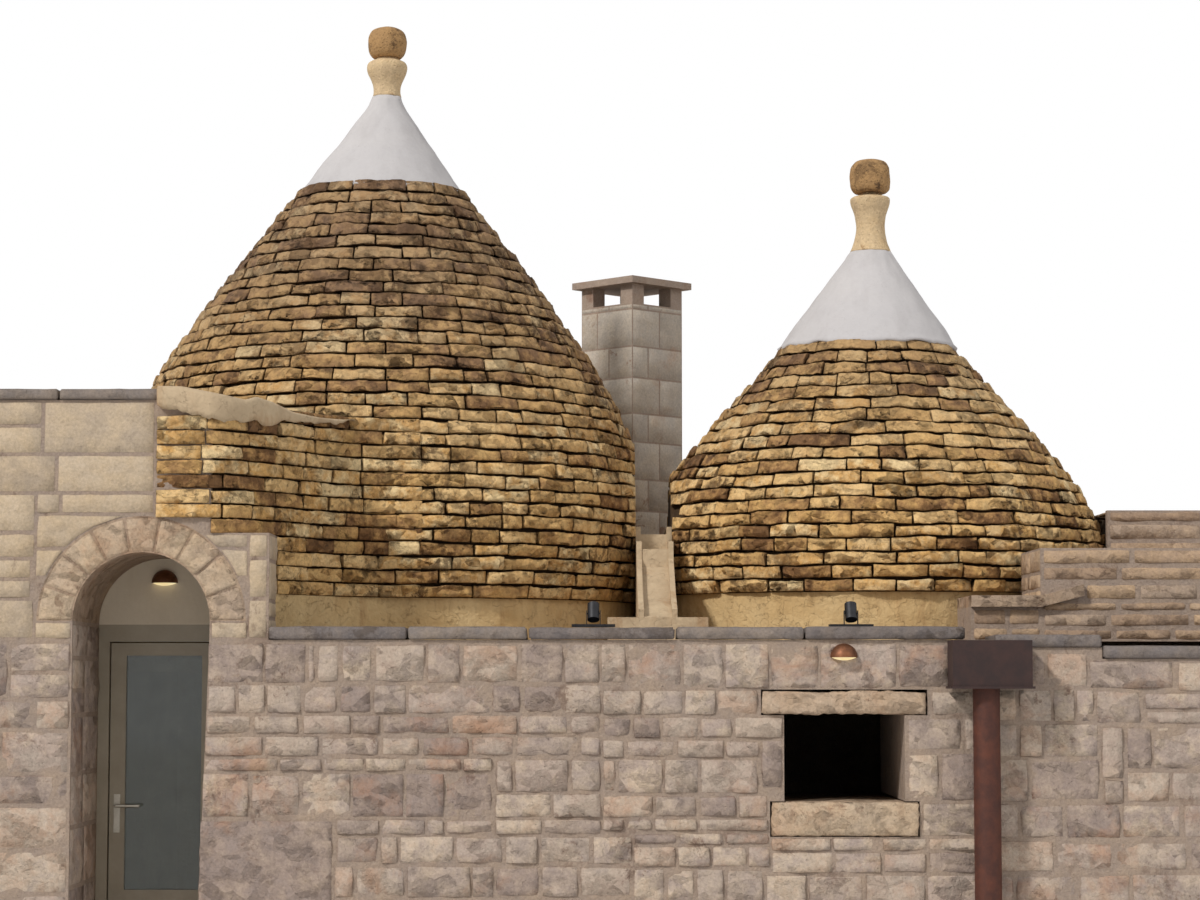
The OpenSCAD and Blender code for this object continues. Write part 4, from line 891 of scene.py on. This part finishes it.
def build_front():
    st = Stones(41)
    rng = st.rng
    for z0, z1, joints in FRONT_ROWS:
        for a, b in zip(joints, joints[1:]):
            if a < -2.0:
                a = NICHE_X1 - 0.06 * (1 - z0 / WALL_H) - 0.004
            proud = rng.uniform(0.008, 0.013)
            st.stone(FRONT, a + 0.003, b - 0.003, z0 - 0.001, z1 + 0.001, back=0.05,
                     edge=rng.choice((0.007, 0.009, 0.016)), relief=0.009, step=0.032,
                     skew=0.007, out=proud)
    rubble(st, FRONT, NICHE_X1 - 0.055, HALF_W - 0.01, 0.01, 0.55, relief=0.009)
    rubble(st, FRONT, -HALF_W + 0.01, NICHE_X0 - 0.004, 0.01, WALL_H - 0.01, relief=0.010,
           rows=(0.16, 0.3), lengths=(0.22, 0.5))
    st.build("front_stones", WALL)


def build_sides():
    st = Stones(42)
    left = flat((-HALF_W, 0, 0), *LEFTWARD)
    rubble(st, left, -HALF_D + 0.02, HALF_D - 0.01, 0.01, WALL_H - 0.01)
    right = flat((HALF_W, 0, 0), *RIGHTWARD)
    rubble(st, right, -HALF_D + 0.01, HALF_D - 0.01, 0.01, 1.85)
    rubble(st, right, UPPER_Y + 0.01, HALF_D - 0.01, 1.86, UPPER_Z - 0.01, rows=(0.07, 0.13))
    rubble(st, right, PARAPET_Y + 0.01, HALF_D - 0.01, UPPER_Z, PARAPET_Z - 0.005, rows=(0.07, 0.13))
    st.build("side_stones", WALL)
    st = Stones(43)
    back = flat((0, HALF_D, 0), *BACKWARD)
    rubble(st, back, -HALF_W + 0.01, HALF_W - 0.01, 0.01, WALL_H - 0.01)
    rubble(st, back, -HALF_W + 0.01, -PARAPET_X0, WALL_H, PARAPET_Z - 0.01, rows=(0.07, 0.13))
    st.build("back_stones", WALL)


def build_niche():
    st = Stones(44)
    jamb = flat((NICHE_X0, 0, 0), *RIGHTWARD)
    rubble(st, jamb, -HALF_D + 0.01, DOOR_Y - 0.004, 0.06, ARCH_Z - 0.01, rows=(0.2, 0.36),
           lengths=(0.3, 0.6), relief=0.007, out=0.009)
    st.build("niche_stones", WALL)
    st = Stones(45)
    # voussoirs of the arch, seen from the front
    count = 9

    def fan(s, t, d):
        a = math.pi - s
        r = ARCH_R + t
        return np.column_stack([ARCH_X + r * np.cos(a), -HALF_D - d, ARCH_Z + r * np.sin(a)])
    for k in range(count):
        a0, a1 = math.pi * k / count, math.pi * (k + 1) / count
        st.stone(fan, a0 + 0.008, a1 - 0.008, 0.002, ARCH_T - 0.004, back=0.03, edge=0.012,
                 relief=0.006, step=0.035, skew=0.002, out=0.010)
    st.build("arch_stones", DRESSED)


HAUNCH_RUN = 0.3


def haunch(way, edge_x):
    """Beside the arch: a run of stone ends on the arch's back, to its left or right."""
    def place(s, t, d):
        back_r = ARCH_R + ARCH_T + 0.006
        near = np.where(t < ARCH_Z, ARCH_R + 0.008,
                        np.sqrt(np.maximum(back_r ** 2 - (t - ARCH_Z) ** 2, 0)))
        arch_x = ARCH_X + way * near
        x0, x1 = (edge_x, arch_x) if way < 0 else (arch_x, edge_x)
        return np.column_stack([x0 + (x1 - x0) * s / HAUNCH_RUN, -HALF_D - d, t])
    return place


def build_door_block():
    st = Stones(46)
    arch = (ARCH_X - ARCH_R - ARCH_T - 0.01, ARCH_X + ARCH_R + ARCH_T + 0.01, WALL_H,
            ARCH_Z + ARCH_R + ARCH_T + 0.01)
    cut = dict(rows=(0.16, 0.22), lengths=(0.26, 0.5), gap=0.007, edge=0.009)
    face = dict(cut, holes=[arch], relief=0.006, out=0.008)
    rubble(st, FRONT, -HALF_W + 0.005, BLOCK_X1 - 0.004, WALL_H + 0.002, QUOIN_H - 0.002, **face)
    rubble(st, FRONT, -HALF_W + 0.005, -2.345, QUOIN_H + 0.002, BLOCK_H - 0.004, **face)
    for low, tops in ((WALL_H + 0.006, (ARCH_Z - 0.006,) * 2), (2.29, (2.435,) * 2),
                      (2.443, (arch[3] - 0.004, QUOIN_H - 0.006))):
        for way, edge_x, high in zip((-1, 1), (arch[0] + 0.004, arch[1] - 0.004), tops):
            st.stone(haunch(way, edge_x), 0, HAUNCH_RUN, low, high, back=0.05, edge=0.009,
                     relief=0.006, out=0.008, step=0.05)
    side = flat((BLOCK_X1, 0, 0), *RIGHTWARD)
    rubble(st, side, -HALF_D + 0.004, DOOR_Y - 0.4, WALL_H + 0.002, QUOIN_H - 0.002,
           relief=0.005, out=0.007, **cut)
    left = flat((-HALF_W, 0, 0), *LEFTWARD)
    rubble(st, left, -DOOR_BACK, HALF_D - 0.01, WALL_H + 0.002, BLOCK_H - 0.004,
           rows=(0.14, 0.2), relief=0.007, out=0.009)
    st.build("block_stones", ASHLAR)


def build_trim():
    st = Stones(47)
    x0, x1, z0, z1 = WIN
    lintel = flat((0, -HALF_D - 0.018, 0), *FORWARD)
    st.stone(lintel, x0 - 0.12, x1 + 0.12, z1, z1 + 0.134, back=1.318, edge=0.012, relief=0.015,
             step=0.024, skew=0.010, wave=0.010, out=-0.002)
    st.stone(lintel, x0 - 0.075, x1 + 0.075, z0 - 0.185, z0, back=1.318, edge=0.012, relief=0.014,
             step=0.026, skew=0.008, out=-0.002)
    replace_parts(st.build("lintel_and_sill", DRESSED), "window_lintel", "window_sill")
    st = Stones(48)
    rng = st.rng
    cope = flat((0, -HALF_D - 0.025, 0), *FORWARD)
    runs = ((BLOCK_X1, 1.918, WALL_H), (2.066, 2.635, WALL_H - 0.04), (2.635, HALF_W, WALL_H - 0.10))
    for a, b, z in runs:
        cuts = cut_row(rng, a, b, 0.55, 0.95)
        for p, q in zip(cuts, cuts[1:]):
            st.stone(cope, p + 0.001, q - 0.003, z, z + 0.07 + rng.uniform(-0.004, 0.002),
                     back=0.445, edge=0.012, relief=0.004, step=0.05, skew=0.004,
                     out=rng.uniform(-0.004, 0.003))
    cuts = cut_row(rng, -HALF_W, -2.32, 0.5, 0.8)
    for p, q in zip(cuts, cuts[1:]):
        st.stone(cope, p + 0.001, q - 0.003, BLOCK_H, BLOCK_H + 0.06, back=0.825, edge=0.012,
                 relief=0.004, step=0.05, skew=0.004)
    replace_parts(st.build("coping_slabs", COPING), "front_coping", "door_block_coping")


def build_right_walls():
    st = Stones(49)
    upper = flat((0, UPPER_Y, 0), *FORWARD)
    bed = dict(relief=0.005, edge=0.014)
    wide = dict(bed, lengths=(0.25, 0.6), gap=0.012)
    rubble(st, upper, UPPER_X0 + 0.004, HALF_W - 0.004, WALL_H, 2.18, rows=(0.07, 0.11), **wide)
    rubble(st, upper, UPPER_X0 + 0.24, HALF_W - 0.004, 2.18, 2.28, rows=(0.09, 0.11), **wide)
    rubble(st, upper, UPPER_X0 + 0.004, HALF_W - 0.004, 2.285, UPPER_Z, rows=(0.075, 0.1),
           lengths=(0.3, 0.75), gap=0.010, **bed)
    rubble(st, upper, 2.03, UPPER_X0, WALL_H, 2.145, rows=(0.08, 0.11), lengths=(0.14, 0.28),
           gap=0.012, **bed)
    high = flat((0, PARAPET_Y, 0), *FORWARD)
    rubble(st, high, PARAPET_X0 + 0.004, HALF_W - 0.004, UPPER_Z, PARAPET_Z, rows=(0.09, 0.12),
           lengths=(0.3, 0.6), gap=0.010, **bed)
    end = flat((UPPER_X0, 0, 0), *LEFTWARD)
    rubble(st, end, 1.3, -UPPER_Y - 0.004, 2.16, UPPER_Z, rows=(0.075, 0.11), lengths=(0.2, 0.4),
           relief=0.005)
    inner = flat((PARAPET_X0, 0, 0), *LEFTWARD)
    rubble(st, inner, -HALF_D + 0.01, -0.7, WALL_H + 0.01, PARAPET_Z - 0.004, rows=(0.08, 0.13),
           relief=0.005)
    st.build("upper_wall_stones", LAMPLIT_WALL)


def build_chimney():
    st = Stones(50)
    cx, cy, half = 0.216, 1.6, 0.24
    for k in range(4):
        a = math.radians(45 + 90 * k)
        n = np.array([math.sin(a), -math.cos(a), 0])
        along = np.array([math.cos(a), math.sin(a), 0])
        face = flat(np.array([cx, cy, 0]) + n * half, along, n)
        z = WALL_H + 0.02
        row = 0
        while z < 4.255:
            top = min(z + (0.21, 0.25, 0.19, 0.24)[row % 4], 4.255)
            cut = (-0.24, 0.02, 0.24) if (row + k) % 2 else (-0.24, -0.09, 0.24)
            for p, q in zip(cut, cut[1:]):
                st.stone(face, p + 0.0015, q - 0.0015, z + 0.0015, top - 0.0015, back=0.02,
                         edge=0.005, relief=0.0015, step=0.09, skew=0.001, out=0.002)
            z = top
            row += 1
    st.build("chimney_ashlar", CHIMNEY)


def build_paving():
    """Rough paving on the flat roof between the drums, and slabs along the high walls."""
    st = Stones(52)
    rng = st.rng

    def level(x0, y0, z):
        return lambda s, t, d: np.column_stack([x0 + s, y0 + t, z + d])

    def near(a, b, c, d, cx):
        x, y = min(max(cx, a), b), min(max(0.0, c), d)
        return math.hypot(x - cx, y)
    areas = ((BLOCK_X1, 1.95, -2.16, 2.59, WALL_H + 0.006), (1.95, 2.99, -1.28, 2.59, WALL_H + 0.006),
             (-HALF_W + 0.01, BLOCK_X1, -1.05, 2.59, WALL_H + 0.006),
             (UPPER_X0 + 0.004, HALF_W - 0.004, UPPER_Y + 0.004, -1.3, UPPER_Z),
             (PARAPET_X0 + 0.004, HALF_W - 0.004, -1.3, PARAPET_Y - 0.004, UPPER_Z),
             (PARAPET_X0 + 0.004, HALF_W - 0.004, PARAPET_Y + 0.004, 2.59, PARAPET_Z))
    for x0, x1, y0, y1, z in areas:
        place = level(x0, y0, z)
        y = 0.0
        while y < y1 - y0 - 0.05:
            deep = min(rng.uniform(0.24, 0.40), y1 - y0 - y)
            cuts = cut_row(rng, 0.0, x1 - x0, 0.28, 0.6)
            for a, b in zip(cuts, cuts[1:]):
                box = (x0 + a, x0 + b, y0 + y, y0 + y + deep)
                if z < 2 and (near(*box, LEFT_X) < 1.42 or near(*box, RIGHT_X) < 1.24):
                    continue
                st.stone(place, a + 0.005, b - 0.005, y + 0.005, y + deep - 0.005, back=0.02,
                         edge=0.010, relief=0.004, step=0.09, skew=0.010, out=0.002)
            y += deep
    st.build("roof_paving", DRESSED)


def build_lenses():
    """Lit lens that bulges a little under each wall lamp."""
    st = Stones(51)
    for x, y, z in ((1.279, -HALF_D, 1.868), (ARCH_X, DOOR_Y, 2.285)):
        rings, around = 5, 20
        co = [(x, y - 0.03, z - 0.016)]
        for i in range(1, rings + 1):
            share = i / rings
            for j in range(around + 1):
                a = math.pi * j / around
                co.append((x - 0.066 * share * math.cos(a), y - 0.002 - 0.066 * share * math.sin(a)
                           - 0.03 * (1 - share), z - 0.016 * (1 - share ** 2)))
        n = around + 1
        faces = [[0, 1 + j, 2 + j] for j in range(around)] + [[0, n, 1]]
        faces += [[1 + v for v in f] for f in skin(rings, n)]
        top = 1 + (rings - 1) * n
        faces.append([top + j for j in range(n)][::-1])
        st.put(np.array(co), faces)
    st.build("lamp_lenses", LENS)


build_front()
build_sides()
build_niche()
build_door_block()
build_trim()
build_right_walls()
build_chimney()
build_paving()
build_lenses()


# Stage, lights and camera

def stage():
    bpy.ops.mesh.primitive_plane_add(size=120, location=(0, 0, 0))
    floor = bpy.context.object
    floor.name = "studio_floor"
    m = Mat("studio_floor", rough=0.95, spec=0.1)
    soft = m.noise(0.6, 4, 0.5)
    floor.data.materials.append(m.done(m.mix(m.span(soft, 0.3, 0.7), lin(226, 225, 223),
                                             lin(231, 230, 228))))
    world = bpy.data.worlds.new("studio")
    bpy.context.scene.world = world
    world.use_nodes = True
    t = world.node_tree
    t.nodes.clear()

    def add(kind, *inputs, **props):
        n = t.nodes.new(kind)
        for key, value in props.items():
            setattr(n, key, value)
        for i, value in enumerate(inputs):
            if isinstance(value, bpy.types.NodeSocket):
                t.links.new(value, n.inputs[i])
            else:
                n.inputs[i].default_value = value
        return n.outputs[0]

    path = t.nodes.new("ShaderNodeLightPath").outputs
    seen = add("ShaderNodeMath", path["Is Camera Ray"], path["Is Glossy Ray"], operation="MAXIMUM")
    seen = add("ShaderNodeMath", seen, path["Is Transmission Ray"], operation="MAXIMUM")
    light = add("ShaderNodeBackground", (1.0, 0.985, 0.96, 1), 0.5)
    white = add("ShaderNodeBackground", (1, 1, 1, 1), 1.0)
    t.links.new(add("ShaderNodeMixShader", seen, light, white),
                t.nodes.new("ShaderNodeOutputWorld").inputs[0])


def sun(name, strength, angle, pitch, turn, color=(1, 1, 1)):
    data = bpy.data.lights.new(name, "SUN")
    data.energy, data.angle, data.color = strength, math.radians(angle), color
    obj = bpy.data.objects.new(name, data)
    obj.rotation_euler = (math.radians(pitch), 0, math.radians(turn))
    bpy.context.collection.objects.link(obj)


stage()
sun("key", 2.3, 6, 50, -46, (1.0, 0.97, 0.92))
sun("fill", 0.35, 40, 60, 50)

cam = bpy.data.cameras.new("camera")
cam.lens, cam.sensor_width = 85, 36
eye = bpy.data.objects.new("camera", cam)
eye.location = (0, -17.5, 1.75)
eye.rotation_euler = (math.radians(90 + 4.64), 0, 0)
bpy.context.collection.objects.link(eye)
bpy.context.scene.camera = eye
bpy.context.scene.view_settings.view_transform = "Standard"
